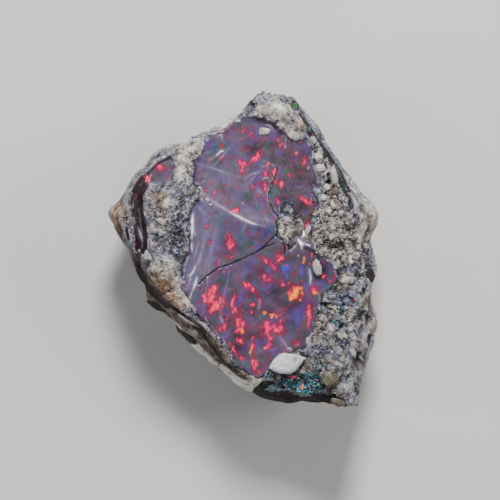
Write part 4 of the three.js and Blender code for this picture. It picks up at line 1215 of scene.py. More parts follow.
@dataclass(frozen=True)
class Wire:
    """What comes out of a node. Arithmetic with it adds math nodes."""

    graph: "Graph"
    socket: bpy.types.NodeSocket

    def __add__(self, other: "Value") -> "Wire":
        """The sum."""
        return self.graph.math("ADD", self, other)

    def __sub__(self, other: "Value") -> "Wire":
        """This less the other."""
        return self.graph.math("SUBTRACT", self, other)

    def __rsub__(self, other: "Value") -> "Wire":
        """The other less this."""
        return self.graph.math("SUBTRACT", other, self)

    def __mul__(self, other: "Value") -> "Wire":
        """The product."""
        return self.graph.math("MULTIPLY", self, other)

    def most(self, other: "Value") -> "Wire":
        """The larger of the two."""
        return self.graph.math("MAXIMUM", self, other)

    def least(self, other: "Value") -> "Wire":
        """The smaller of the two."""
        return self.graph.math("MINIMUM", self, other)

    def clamped(self) -> "Wire":
        """The same result of a math node, kept from 0 to 1."""
        self.socket.node.use_clamp = True
        return self

    def rise(self, low: "Value", high: "Value") -> "Wire":
        """Steps smoothly from 0 at low to 1 at high."""
        inputs = {0: self, 1: low, 2: high}
        return self.graph.add("ShaderNodeMapRange", inputs, interpolation_type="SMOOTHSTEP")

    def towards(self, colour: "Value", share: "Value", mode: str = "MIX") -> "Wire":
        """Blends this colour towards another, all the way at a share of 1."""
        return self.graph.mix(share, self, colour, mode)

    def shaded(self, tone: "Wire") -> "Wire":
        """This colour multiplied by a tone."""
        grey = self.graph.add("ShaderNodeCombineColor", {0: tone, 1: tone, 2: tone})
        return self.towards(grey, 1.0, "MULTIPLY")

    def split(self) -> list["Wire"]:
        """The three channels of this colour."""
        red = self.graph.add("ShaderNodeSeparateColor", {0: self})
        return [red, red.beside(1), red.beside(2)]

    def beside(self, output: str | int) -> "Wire":
        """Another output of the same node, by name or number."""
        return Wire(self.graph, self.socket.node.outputs[output])


Value = Wire | float | Sequence[float]


@dataclass
class Graph:
    """A node tree, written as a chain of short calls that each give a wire."""

    tree: bpy.types.NodeTree

    def feed(self, node: bpy.types.Node, inputs: dict[str | int, Value]) -> None:
        """Links wires to a node's sockets, by name or number, and sets the others to their values."""
        for key, value in inputs.items():
            if isinstance(value, Wire):
                self.tree.links.new(value.socket, node.inputs[key])
            else:
                node.inputs[key].default_value = value

    def add(
        self, kind: str, inputs: dict[str | int, Value], output: str | int = 0, **settings: object
    ) -> Wire:
        """Adds a node.

        Args:
            kind: Type of the node.
            inputs: What goes into its sockets.
            output: Name or number of the output that is wanted.
            settings: The node's own properties.

        Returns:
            That output.
        """
        node = self.tree.nodes.new(kind)
        for name, setting in settings.items():
            setattr(node, name, setting)
        self.feed(node, inputs)
        return Wire(self, node.outputs[output])

    def apply(self, effect: bpy.types.NodeTree, **inputs: Value) -> Wire:
        """Places a shared effect with values of its own, and gives its first output."""
        named = {name.capitalize(): value for name, value in inputs.items()}
        return self.add("ShaderNodeGroup", {"Vector": self.place, **named}, node_tree=effect)

    def math(self, operation: str, first: Value, second: Value = 0.0) -> Wire:
        """Combines two values by an operation such as ADD or MULTIPLY."""
        return self.add("ShaderNodeMath", {0: first, 1: second}, operation=operation)

    def mix(self, share: Value, first: Value, second: Value, mode: str = "MIX") -> Wire:
        """Blends two colours, all the first at a share of 0."""
        inputs = {0: share, 6: first, 7: second}
        return self.add("ShaderNodeMix", inputs, 2, data_type="RGBA", blend_type=mode)

    def noise(
        self, scale: Value, detail: float = 2.0, roughness: float = 0.55, vector: Wire | None = None
    ) -> Wire:
        """Noise from 0 to 1 at a scale, on other coordinates than the place where they are given."""
        inputs = {"Vector": vector or self.place, "Scale": scale, "Detail": detail}
        return self.add("ShaderNodeTexNoise", inputs | {"Roughness": roughness})

    def colours(self, vector: Wire, scale: float, detail: float) -> Wire:
        """Noise whose three channels differ."""
        inputs = {"Vector": vector, "Scale": scale, "Detail": detail}
        return self.add("ShaderNodeTexNoise", inputs, "Color")

    def cells(self, vector: Wire, scale: Value, output: str = "Color", **settings: str) -> Wire:
        """A pattern of packed cells."""
        inputs = {"Vector": vector, "Scale": scale}
        return self.add("ShaderNodeTexVoronoi", inputs, output, **settings)

    def bent(self, vector: Wire, scale: float, detail: float, shift: float) -> Wire:
        """Coordinates that noise moves by up to a shift, so that a pattern's lines bend."""
        inputs = {0: self.colours(vector, scale, detail), "Scale": shift}
        moved = self.add("ShaderNodeVectorMath", inputs, operation="SCALE")
        return self.add("ShaderNodeVectorMath", {0: vector, 1: moved})

    def stretched(self, turn: float, often: Sequence[float]) -> Wire:
        """Coordinates turned by degrees for a pattern that repeats so often a millimetre each way."""
        inputs = {
            "Vector": self.place, "Rotation": (0, 0, math.radians(turn)),
            "Scale": [1 / times for times in often],
        }
        return self.add("ShaderNodeMapping", inputs, vector_type="TEXTURE")

    @cached_property
    def place(self) -> Wire:
        """Places on the piece in millimetres."""
        inputs = {0: self.add("ShaderNodeTexCoord", {}, "Object"), "Scale": 1 / MM}
        return self.add("ShaderNodeVectorMath", inputs, operation="SCALE")

    def fields(self, name: str) -> list[Wire]:
        """The four channels of one of the piece's attributes."""
        colour = self.add("ShaderNodeAttribute", {}, "Color", attribute_name=name)
        return [*colour.split(), colour.beside("Alpha")]

    def bump(self, height: Wire, strength: float, depth: float) -> Wire:
        """Normals bent by a height, whose full relief is a depth in millimetres."""
        inputs = {"Height": height, "Strength": strength, "Distance": depth * MM}
        return self.add("ShaderNodeBump", inputs)


def new_effect(
    name: str, inputs: dict[str, object], outputs: dict[str, str]
) -> tuple[Graph, dict[str, Wire], bpy.types.Node]:
    """Starts a shader node group.

    Args:
        name: Name of the group.
        inputs: Starting value of each input: a number, a colour, or None for coordinates.
        outputs: Kind of each output, Color or Float.

    Returns:
        The group's graph, its inputs by name, and the node that its results go into.
    """
    tree = bpy.data.node_groups.new(name, "ShaderNodeTree")
    for label, value in inputs.items():
        kind = "Vector" if value is None else "Float" if isinstance(value, float) else "Color"
        socket = tree.interface.new_socket(label, in_out="INPUT", socket_type=f"NodeSocket{kind}")
        if value is not None:
            socket.default_value = value
    for label, kind in outputs.items():
        tree.interface.new_socket(label, in_out="OUTPUT", socket_type=f"NodeSocket{kind}")
    graph, start = Graph(tree), tree.nodes.new("NodeGroupInput")
    given = {socket.name: Wire(graph, socket) for socket in start.outputs if socket.name}
    graph.place = given["Vector"]
    return graph, given, tree.nodes.new("NodeGroupOutput")


def new_material(name: str) -> tuple[bpy.types.Material, Graph, bpy.types.Node]:
    """Makes a material, and gives its graph and its Principled shader with it."""
    material = bpy.data.materials.new(name)
    material.use_nodes = True
    return material, Graph(material.node_tree), material.node_tree.nodes["Principled BSDF"]


def torn_mask() -> bpy.types.NodeTree:
    """Turns a soft value into a mask with a torn edge: a step over the value plus noise."""
    inputs = {"Vector": None, "Value": 0.0, "Low": 0.3, "High": 0.5, "Scale": 3.0, "Tear": 0.4}
    graph, given, results = new_effect("torn_mask", inputs, {"Mask": "Float"})
    torn = graph.noise(given["Scale"], 3) - 0.5
    value = given["Value"] + torn * given["Tear"]
    graph.feed(results, {"Mask": value.rise(given["Low"], given["High"])})
    return graph.tree


def sand_grains() -> bpy.types.NodeTree:
    """Packed grains of three colours in a dark cement: cells, each with a colour of its own."""
    inputs = {
        "Vector": None, "Scale": 3.0, "Dark": paint(52, 50, 60), "Middle": paint(128, 122, 125),
        "Light": paint(196, 188, 180), "Whiteness": 0.5,
    }
    graph, given, results = new_effect("sand_grains", inputs, {"Color": "Color", "Height": "Float"})
    bent = graph.bent(given["Vector"], 2.4, 2.0, 0.35)
    coarse, fine = graph.cells(bent, given["Scale"]), graph.cells(bent, given["Scale"] * 2.3)
    chance, small = coarse.split()[0], fine.split()[1]
    value = chance * 0.55 + small * 0.4 + (graph.noise(0.9, 3) - 0.5) * 1.1
    colour = graph.mix(value.rise(0.1, 0.42), given["Dark"], given["Middle"])
    start = 1.05 - given["Whiteness"]
    colour = colour.towards(given["Light"], value.rise(start, start + 0.22))
    away = coarse.beside("Distance")
    colour = colour.towards(given["Dark"], away.rise(0.45, 0.8) * 0.55)
    colour = colour.shaded(graph.noise(11.0, 3, 0.7) * 1.5 + 0.25)
    height = (1.0 - away) - fine.beside("Distance") * 0.45
    graph.feed(results, {"Color": colour, "Height": height})
    return graph.tree


def mottling() -> bpy.types.NodeTree:
    """Two colours in soft patches, with specks of a third that crowd in places."""
    inputs = {
        "Vector": None, "Scale": 1.5, "First": paint(150, 148, 165), "Second": paint(120, 120, 145),
        "Speck": paint(70, 66, 76), "Speckling": 0.4,
    }
    graph, given, results = new_effect("mottling", inputs, {"Color": "Color", "Height": "Float"})
    patches = graph.noise(given["Scale"], 4, 0.6).rise(0.36, 0.64)
    specks = graph.noise(given["Scale"] * 5.5, 3, 0.65)
    edge = 0.88 - given["Speckling"] * 0.5
    crowded = graph.noise(given["Scale"] * 0.8, 2).rise(0.36, 0.6)
    mask = specks.rise(edge, edge + 0.09) * (crowded * 0.85 + 0.15)
    colour = graph.mix(patches, given["First"], given["Second"]).towards(given["Speck"], mask)
    colour = colour.shaded(graph.noise(8.0, 3, 0.7) * 1.3 + 0.35)
    graph.feed(results, {"Color": colour, "Height": specks - mask * 0.6})
    return graph.tree


@dataclass(frozen=True)
class Effects:
    """The shader groups that the finishes share."""

    torn: bpy.types.NodeTree
    sand: bpy.types.NodeTree
    mottle: bpy.types.NodeTree

    @classmethod
    def build(cls) -> "Effects":
        """Makes each group once."""
        return cls(torn_mask(), sand_grains(), mottling())


@dataclass(frozen=True)
class Mottle:
    """One mineral's mottling: its patches a millimetre, its three colours and how speckled it is."""

    scale: float
    first: Colour
    second: Colour
    speck: Colour
    speckling: float


@dataclass(frozen=True)
class Packed:
    """One sand's packed grains: grains a millimetre, three colours and the share of light ones."""

    scale: float
    dark: Colour
    middle: Colour
    light: Colour
    whiteness: float


@dataclass(frozen=True)
class OpalFinish:
    """Colours of the bare opal and of the fire in it."""

    body: Colour = paint(88, 74, 96)
    # Milky haze of the body, partly painted sheen; also the painted sheen's colour beside the ridges.
    haze_and_sheen: Colour = paint(126, 114, 142)
    brown: Colour = paint(92, 64, 62)
    dark: Colour = paint(34, 29, 36)
    blue: Colour = paint(56, 58, 112)
    wine: Colour = paint(120, 50, 74)
    moss: Colour = paint(46, 82, 78)
    ember: Colour = paint(150, 44, 66)
    pink: Colour = paint(200, 34, 100)
    crimson: Colour = paint(140, 22, 52)
    red: Colour = paint(222, 24, 78)
    coral: Colour = paint(250, 62, 92)
    orange: Colour = paint(244, 100, 34)
    yellow: Colour = paint(240, 160, 36)
    green: Colour = paint(8, 108, 28)
    teal: Colour = paint(20, 92, 92)
    violet: Colour = paint(74, 62, 146)
    azure: Colour = paint(4, 66, 205)
    # Colour of the painted highlights on the ridges and the rim.
    pale: Colour = paint(244, 240, 250)
    # Colour of the cracks and of the painted shade along the rim.
    black: Colour = paint(14, 11, 14)

    def body_colour(self, graph: Graph, flash: Wire) -> Wire:
        """Colour of the opal between the flashes.

        Args:
            graph: The material's graph.
            flash: How strong the red flashes are.

        Returns:
            The body's colour, tinted by the stone's fields and clouded by noise, with faint
            patches of dull fire.
        """
        haze_and_sheen, brown, dark, blue = graph.fields("tint")
        cloud = graph.noise(0.75, 3, 0.5)
        streak = graph.noise(1.0, 3, 0.6, graph.stretched(-17, (4.5, 0.6, 2.0)))
        colour = graph.mix((blue * 0.6).clamped(), self.body, self.blue)
        chances = graph.colours(graph.stretched(-20, (1.15, 0.8, 1.0)), 1.0, 4.0).split()
        tints = ((self.wine, 0.5), (self.violet, 0.5), (self.moss, 0.62))
        for chance, (tint, share) in zip(chances, tints):
            colour = colour.towards(tint, chance.rise(0.45, 0.64) * share)
        colour = colour.towards(self.brown, (brown * 0.62).clamped())
        shade = dark + (cloud * 3.4 - 1.68)
        colour = colour.towards(self.dark, (shade * 0.7).clamped())
        # A milky veil over the body, which is partly painted sheen where the haze spots lie.
        veil = haze_and_sheen + (streak - 0.52) * 0.9
        colour = colour.towards(self.haze_and_sheen, (veil * 0.5).clamped())
        return colour.towards(self.ember, flash.rise(0.02, 0.7) * 0.5)

    def fire(self, graph: Graph, flashes: list[Wire]) -> tuple[Wire, Wire]:
        """The flashes.

        Args:
            graph: The material's graph.
            flashes: How strong the red, warm, green and blue flashes are.

        Returns:
            The flashes' colour and the mask that they show through. Each has a torn, streaky
            edge in one colour and a core in another.
        """
        red, warm, green, blue = flashes
        chance = graph.cells(graph.stretched(-16, (8.4, 4.6, 6.0)), 1.0).split()
        grain = graph.noise(1.0, 4, 0.66, graph.stretched(-12, (2.9, 1.5, 2.4)))
        torn = chance[0] * 0.3 + grain * 4.2 - 1.33
        embers = graph.noise(1.0, 3, 0.6, graph.stretched(-22, (1.7, 1.1, 1.4)))
        red = (red + embers.rise(0.45, 0.68) * 0.46).least(1.1) * torn
        warm, torn_green = warm * torn, green * torn
        reddish = graph.mix(chance[1], self.pink, self.red)
        reddish = graph.mix(red.rise(0.45, 0.85), self.crimson, reddish)
        reddish = reddish.towards(self.coral, red.rise(1.0, 1.5)).towards(self.orange, red.rise(1.45, 1.9))
        layers = (
            (blue.rise(0.2, 0.8), graph.mix(blue.rise(0.75, 1.2), self.violet, self.azure), 0.85),
            (torn_green.rise(0.35, 0.75), graph.mix(green.rise(0.5, 0.9), self.teal, self.green), 0.8),
            (red.rise(0.08, 1.05), reddish, 1.0),
            (warm.rise(0.5, 0.75), graph.mix(warm.rise(0.9, 1.5), self.orange, self.yellow), 1.0),
        )
        colour, whole = self.black, 0.0
        for shown, tint, share in layers:
            colour = graph.mix(shown, colour, tint)
            whole = (shown * share).most(whole)
        return colour, whole


@dataclass(frozen=True)
class StoneFinish:
    """The one finish of the stone: sand, clay and other minerals of the crust, potch and opal."""

    effects: Effects
    opal: OpalFinish = OpalFinish()
    # Strength of the flashes' emission: a painted glow, since they are no lamp.
    glow: float = 0.3
    sand: Mottle = Mottle(1.35, paint(194, 188, 193), paint(106, 104, 126), paint(32, 33, 60), 0.84)
    rind: Mottle = Mottle(1.5, paint(150, 130, 116), paint(76, 58, 52), paint(20, 17, 20), 0.76)
    lavender: Mottle = Mottle(1.7, paint(160, 155, 177), paint(100, 100, 128), paint(34, 32, 46), 0.78)
    indigo: Mottle = Mottle(1.7, paint(66, 68, 98), paint(24, 28, 60), paint(12, 14, 34), 0.85)
    clay: Mottle = Mottle(1.8, paint(236, 230, 222), paint(196, 182, 166), paint(40, 36, 46), 0.8)
    brown_sand: Packed = Packed(3.4, paint(36, 30, 30), paint(104, 90, 84), paint(190, 182, 174), 0.55)
    stain: Colour = paint(226, 176, 122)
    fissure: Colour = paint(34, 31, 34)
    chalk: Colour = paint(248, 243, 236)
    pit: Colour = paint(52, 40, 38)
    vein: Colour = paint(214, 212, 220)
    deep: Colour = paint(34, 34, 50)
    high: Colour = paint(196, 188, 180)
    olive: Colour = paint(112, 100, 76)
    slate: Colour = paint(80, 90, 124)
    # Colour of the painted shade in crevices and hollows.
    shadow: Colour = paint(20, 19, 24)
    # Paler tint where the surface stands out of its surroundings.
    worn: Colour = paint(216, 212, 212)
    # Colour of the painted glints on the crust.
    glint: Colour = paint(226, 226, 234)
    potch: tuple[Colour, Colour] = (paint(6, 7, 11), paint(40, 37, 42))
    teal: tuple[Colour, Colour] = (paint(7, 18, 26), paint(18, 108, 124))
    # Colour of the painted glints on teal opal.
    teal_glint: Colour = paint(214, 226, 232)
    maroon: tuple[Colour, Colour] = (paint(22, 6, 13), paint(56, 20, 33))

    def torn(
        self, graph: Graph, value: Wire, low: float, high: float, scale: float = 2.2, tear: float = 0.7
    ) -> Wire:
        """A mask of where a value is high, with a torn edge."""
        return graph.apply(self.effects.torn, value=value, low=low, high=high, scale=scale, tear=tear)

    def crust(self, graph: Graph, given: dict[str, Wire]) -> tuple[Wire, Wire]:
        """Lays the crust's minerals over each other.

        Args:
            graph: The material's graph.
            given: The stone's fields by name.

        Returns:
            The colour and height of plain sand with the minerals over it, stained by ochre and
            dark in the fissures.
        """
        colour = graph.apply(self.effects.mottle, **vars(self.sand))
        height = colour.beside("Height")
        layers = (
            (self.torn(graph, given["rind"], 0.3, 0.6), self.effects.mottle, self.rind),
            (self.torn(graph, given["lavender"], 0.3, 0.55), self.effects.mottle, self.lavender),
            (self.torn(graph, given["brown sand"], 0.3, 0.55), self.effects.sand, self.brown_sand),
            (self.torn(graph, given["indigo"], 0.32, 0.6), self.effects.mottle, self.indigo),
            (self.torn(graph, given["clay"], 0.34, 0.44), self.effects.mottle, self.clay),
        )
        for mask, effect, values in layers:
            body = graph.apply(effect, **vars(values))
            colour = colour.towards(body, mask)
            height = height + (body.beside("Height") - height) * mask
        colour = colour.towards(self.stain, self.torn(graph, given["ochre"], 0.25, 0.7) * 0.75, "MULTIPLY")
        cleft = self.torn(graph, given["fissure"], 0.3, 0.6, 3.0, 0.5) * 0.85
        return colour.towards(self.fissure, cleft), height

    def weathered(
        self, graph: Graph, given: dict[str, Wire], colour: Wire, height: Wire
    ) -> tuple[Wire, Wire]:
        """Adds what is finer than the minerals.

        Args:
            graph: The material's graph.
            given: The stone's fields by name.
            colour: The crust's colour.
            height: The crust's height.

        Returns:
            The colour with chalk and pits in the clay, veins in the indigo sand, tones and hues of
            single lumps, painted shade in the crevices and hollows and a paler tint where the
            surface stands out, and the height with the crevices.
        """
        clay, indigo, tone, hue = (given[name] for name in ("clay", "indigo", "tone", "hue"))
        colour = colour.towards(self.chalk, clay.rise(0.7, 1.0) * 0.75)
        pits = graph.noise(3.6, 4, 0.7).rise(0.59, 0.62) * (clay * 0.8).clamped()
        colour = colour.towards(self.pit, pits)
        edges = graph.cells(graph.place, 2.4, "Distance", feature="DISTANCE_TO_EDGE")
        veins = edges.rise(0.2, 0.07) * indigo.rise(0.3, 0.7) * graph.noise(1.4, 2).rise(0.42, 0.55)
        colour = colour.towards(self.vein, veins * 0.9)
        lumpy = (1.0 - clay * 0.6).clamped()
        colour = colour.towards(colour.towards(self.deep, 0.8), tone.rise(0.5, 0.15) * (lumpy * 0.75))
        colour = colour.towards(self.high, tone.rise(0.55, 0.9) * (lumpy * 0.5))
        colour = colour.towards(self.olive, hue.rise(0.58, 0.74) * (lumpy * 0.7))
        colour = colour.towards(self.slate, hue.rise(0.42, 0.26) * (lumpy * 0.7))
        # Painted shade: the crevices between lumps are drawn dark, and also cut into the height.
        bent = graph.bent(graph.place, 1.3, 3.0, 1.6)
        lumps = graph.cells(bent, 0.8, "Distance", feature="DISTANCE_TO_EDGE")
        crevice_shade = lumps.rise(0.13, 0.01) * graph.noise(0.45, 2).rise(0.38, 0.56)
        crevice_shade = crevice_shade * (1.0 - (clay * 0.9 + given["rind"] * 0.6)).clamped()
        colour = colour.towards(self.shadow, crevice_shade * 0.8)
        # Painted shade in the hollows, where the surface lies below its surroundings.
        colour = colour.towards(self.shadow, given["relief"].rise(0.02, -0.05) * 0.75)
        # A paler tint where the surface stands out of its surroundings.
        colour = colour.towards(self.worn, given["relief"].rise(0.03, 0.1) * 0.36)
        return colour, height - crevice_shade * 1.2

    def lined(
        self, graph: Graph, given: dict[str, Wire], colour: Wire, glass: Wire
    ) -> tuple[Wire, Wire]:
        """Paints ridge highlights and sheen, the dark cracks, and shade and highlights on the windows' rim.

        Args:
            graph: The material's graph.
            given: The stone's fields by name.
            colour: The colour to draw on.
            glass: Where there is any glass.

        Returns:
            The colour with them, and where the ridges are.
        """
        highlight_on_glass = given["highlight_strength"] * glass
        # Painted sheen beside each ridge and a painted highlight on it, over the glass only.
        sheen = given["beside ridge"].rise(0.32, -0.02) * highlight_on_glass
        colour = colour.towards(self.opal.haze_and_sheen, sheen * 0.4)
        ridge = given["beside ridge"].rise(0.04, -0.09) * highlight_on_glass
        colour = colour.towards(self.opal.pale, ridge * 0.85)
        # The cracks are drawn black; along the curved step the black also stands for the step's shade,
        # which is painted.
        colour = colour.towards(self.opal.black, given["beside crack"].rise(0.1, 0.03) * 0.92)
        # Along the windows' rim, torn stretches of painted shade, and others of painted highlight.
        rim = graph.math("ABSOLUTE", given["main"] - 0.02).rise(0.14, 0.02)
        varied = graph.noise(0.9, 3)
        dark = self.torn(graph, rim, 0.5, 0.8, 3.0, 0.6) * (varied.rise(0.44, 0.54) * 0.8)
        rim_highlight = self.torn(graph, rim, 0.7, 0.95, 3.0, 0.6) * (varied.rise(0.42, 0.36) * 0.35)
        return colour.towards(self.opal.black, dark).towards(self.opal.pale, rim_highlight), ridge

    def read_fields(self, graph: Graph) -> dict[str, Wire]:
        """The stone's fields by name."""
        names = {
            "form": ("main", "little", "relief"),
            "mineral_a": ("clay", "brown sand", "lavender", "potch"),
            "mineral_b": ("teal", "ochre", "indigo", "maroon"),
            "mineral_c": ("rind", "tone", "hue"),
            "line": ("beside ridge", "beside crack", "fissure", "highlight_strength"),
        }
        return {
            name: wire
            for attribute, own in names.items()
            for name, wire in zip(own, graph.fields(attribute))
        }

    def build(self) -> bpy.types.Material:
        """Makes the material.

        Returns:
            A material that lays the minerals over each other by the stone's fields: first the
            crust's, then potch, teal and maroon opal, and the opal of the windows last.
        """
        material, graph, shader = new_material("opal_and_crust")
        given, flashes = self.read_fields(graph), graph.fields("flash")
        colour, height = self.weathered(graph, given, *self.crust(graph, given))
        # Painted glints: small pale specks that stand for sparkles of light, most on brown sand, teal opal
        # and lavender.
        shiny = (given["brown sand"] + given["teal"] + (given["lavender"] * 0.4 + 0.14)).clamped()
        glint = graph.noise(5.0, 2, 0.6).rise(0.6, 0.64) * 0.8 * shiny
        colour = colour.towards(self.glint, glint)

        potch = self.torn(graph, given["potch"], 0.32, 0.46)
        colour = colour.towards(graph.mix(graph.noise(1.7, 3).rise(0.4, 0.75), *self.potch), potch)
        shards = graph.cells(graph.stretched(30, (3.0, 4.2, 3.0)), 1.0)
        teal_body = graph.mix(shards.split()[0].rise(0.3, 0.9), *self.teal)
        teal = self.torn(graph, given["teal"], 0.32, 0.46)
        # The teal opal's facets carry the same painted glints.
        colour = colour.towards(teal_body.towards(self.teal_glint, glint), teal)
        groove = self.torn(graph, given["maroon"], 0.42, 0.56, 2.4, 0.3)
        colour = colour.towards(graph.mix(graph.noise(2.2, 3).rise(0.45, 0.7), *self.maroon), groove)
        inside = given["main"].least(given["little"]) * -1.0
        window = self.torn(graph, inside, -0.06, 0.05, 4.0, 0.34)
        colour = colour.towards(self.opal.body_colour(graph, flashes[0]), window)

        coated = (teal * 0.7).most(groove * ((1.0 - given["rind"]).clamped() * 0.6)).most(window)
        glass = coated.most(potch)
        fire, burning = self.opal.fire(graph, flashes)
        burning = burning * glass
        colour, ridge = self.lined(graph, given, colour.towards(fire, burning), glass)
        hackles = graph.noise(1.0, 3, vector=graph.stretched(-18, (5.5, 0.5, 2.0)))
        facets = shards.beside("Distance") * (teal * 0.8)
        polished = (hackles * 0.16 + facets + ridge * 0.3) * glass
        # The flashes' colour also feeds the emission, a painted glow of the fire.
        graph.feed(shader, {
            "Base Color": colour,
            "Roughness": (1.0 - coated) * 0.55 + 0.28,
            "Coat Weight": coated,
            "Normal": graph.bump(height * (1.0 - glass) + polished, 1.0, 0.12),
            "Emission Color": graph.mix(burning, paint(0, 0, 0), fire),
            "Emission Strength": self.glow,
            "Coat Roughness": 0.1,
            "Coat IOR": 1.45,
            "Specular IOR Level": 0.35,
        })
        return material


@dataclass(frozen=True)
class GrainFinish:
    """Finish of the loose grains and pebbles, each of which has a colour of its own."""

    effects: Effects
    name: str
    scale: float
    coat: float
    pale: Colour = paint(226, 220, 212)
    deep: Colour = paint(44, 40, 44)

    def build(self) -> bpy.types.Material:
        """Makes the material: the grain's colour, mottled and slightly pitted."""
        material, graph, shader = new_material(self.name)
        own = graph.add("ShaderNodeAttribute", {}, "Color", attribute_name="grain")
        pale, deep = own.towards(self.pale, 0.14), own.towards(self.deep, 0.6)
        colour = graph.apply(
            self.effects.mottle, scale=self.scale, first=pale, second=own, speck=deep, speckling=0.7
        )
        graph.feed(shader, {
            "Base Color": colour,
            "Normal": graph.bump(colour.beside("Height"), 0.9, 0.1),
            "Roughness": 0.5,
            "Coat Weight": self.coat,
            "Coat Roughness": 0.2,
        })
        return material


# ---------------------------------------------------------------- pieces


@dataclass
class Stone:
    """The stone itself, which stands for the solid."""

    form: StoneForm = field(default_factory=StoneForm)

    def build(self, effects: Effects) -> SurfaceFields:
        """Makes the stone's mesh with its fields, its layout for baking and its finish.

        Args:
            effects: The shared shader groups.

        Returns:
            The stone's surface and fields, for what is set into it.
        """
        surface = self.form.surface()
        fields = SurfaceFields(surface, self.form)
        piece = mesh_object("rough_opal_stone", surface.points, surface.faces)
        fields.store(piece)
        store_unwrapping(piece, surface.unwrapping())
        dress(piece, StoneFinish(effects).build())
        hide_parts("rough_opal")
        LOG.info("%s: %d triangles", piece.name, len(surface.faces))
        return fields


# Corners and faces of an icosahedron.
GOLDEN = (1 + math.sqrt(5)) / 2
BALL_POINTS = np.array(
    [
        (-1, GOLDEN, 0), (1, GOLDEN, 0), (-1, -GOLDEN, 0), (1, -GOLDEN, 0), (0, -1, GOLDEN),
        (0, 1, GOLDEN), (0, -1, -GOLDEN), (0, 1, -GOLDEN), (GOLDEN, 0, -1), (GOLDEN, 0, 1),
        (-GOLDEN, 0, -1), (-GOLDEN, 0, 1),
    ]
) / math.hypot(1, GOLDEN)
BALL_FACES = np.array(
    [
        (0, 11, 5), (0, 5, 1), (0, 1, 7), (0, 7, 10), (0, 10, 11), (1, 5, 9), (5, 11, 4),
        (11, 10, 2), (10, 7, 6), (7, 1, 8), (3, 9, 4), (3, 4, 2), (3, 2, 6), (3, 6, 8), (3, 8, 9),
        (4, 9, 5), (2, 4, 11), (6, 2, 10), (8, 6, 7), (9, 8, 1),
    ]
)


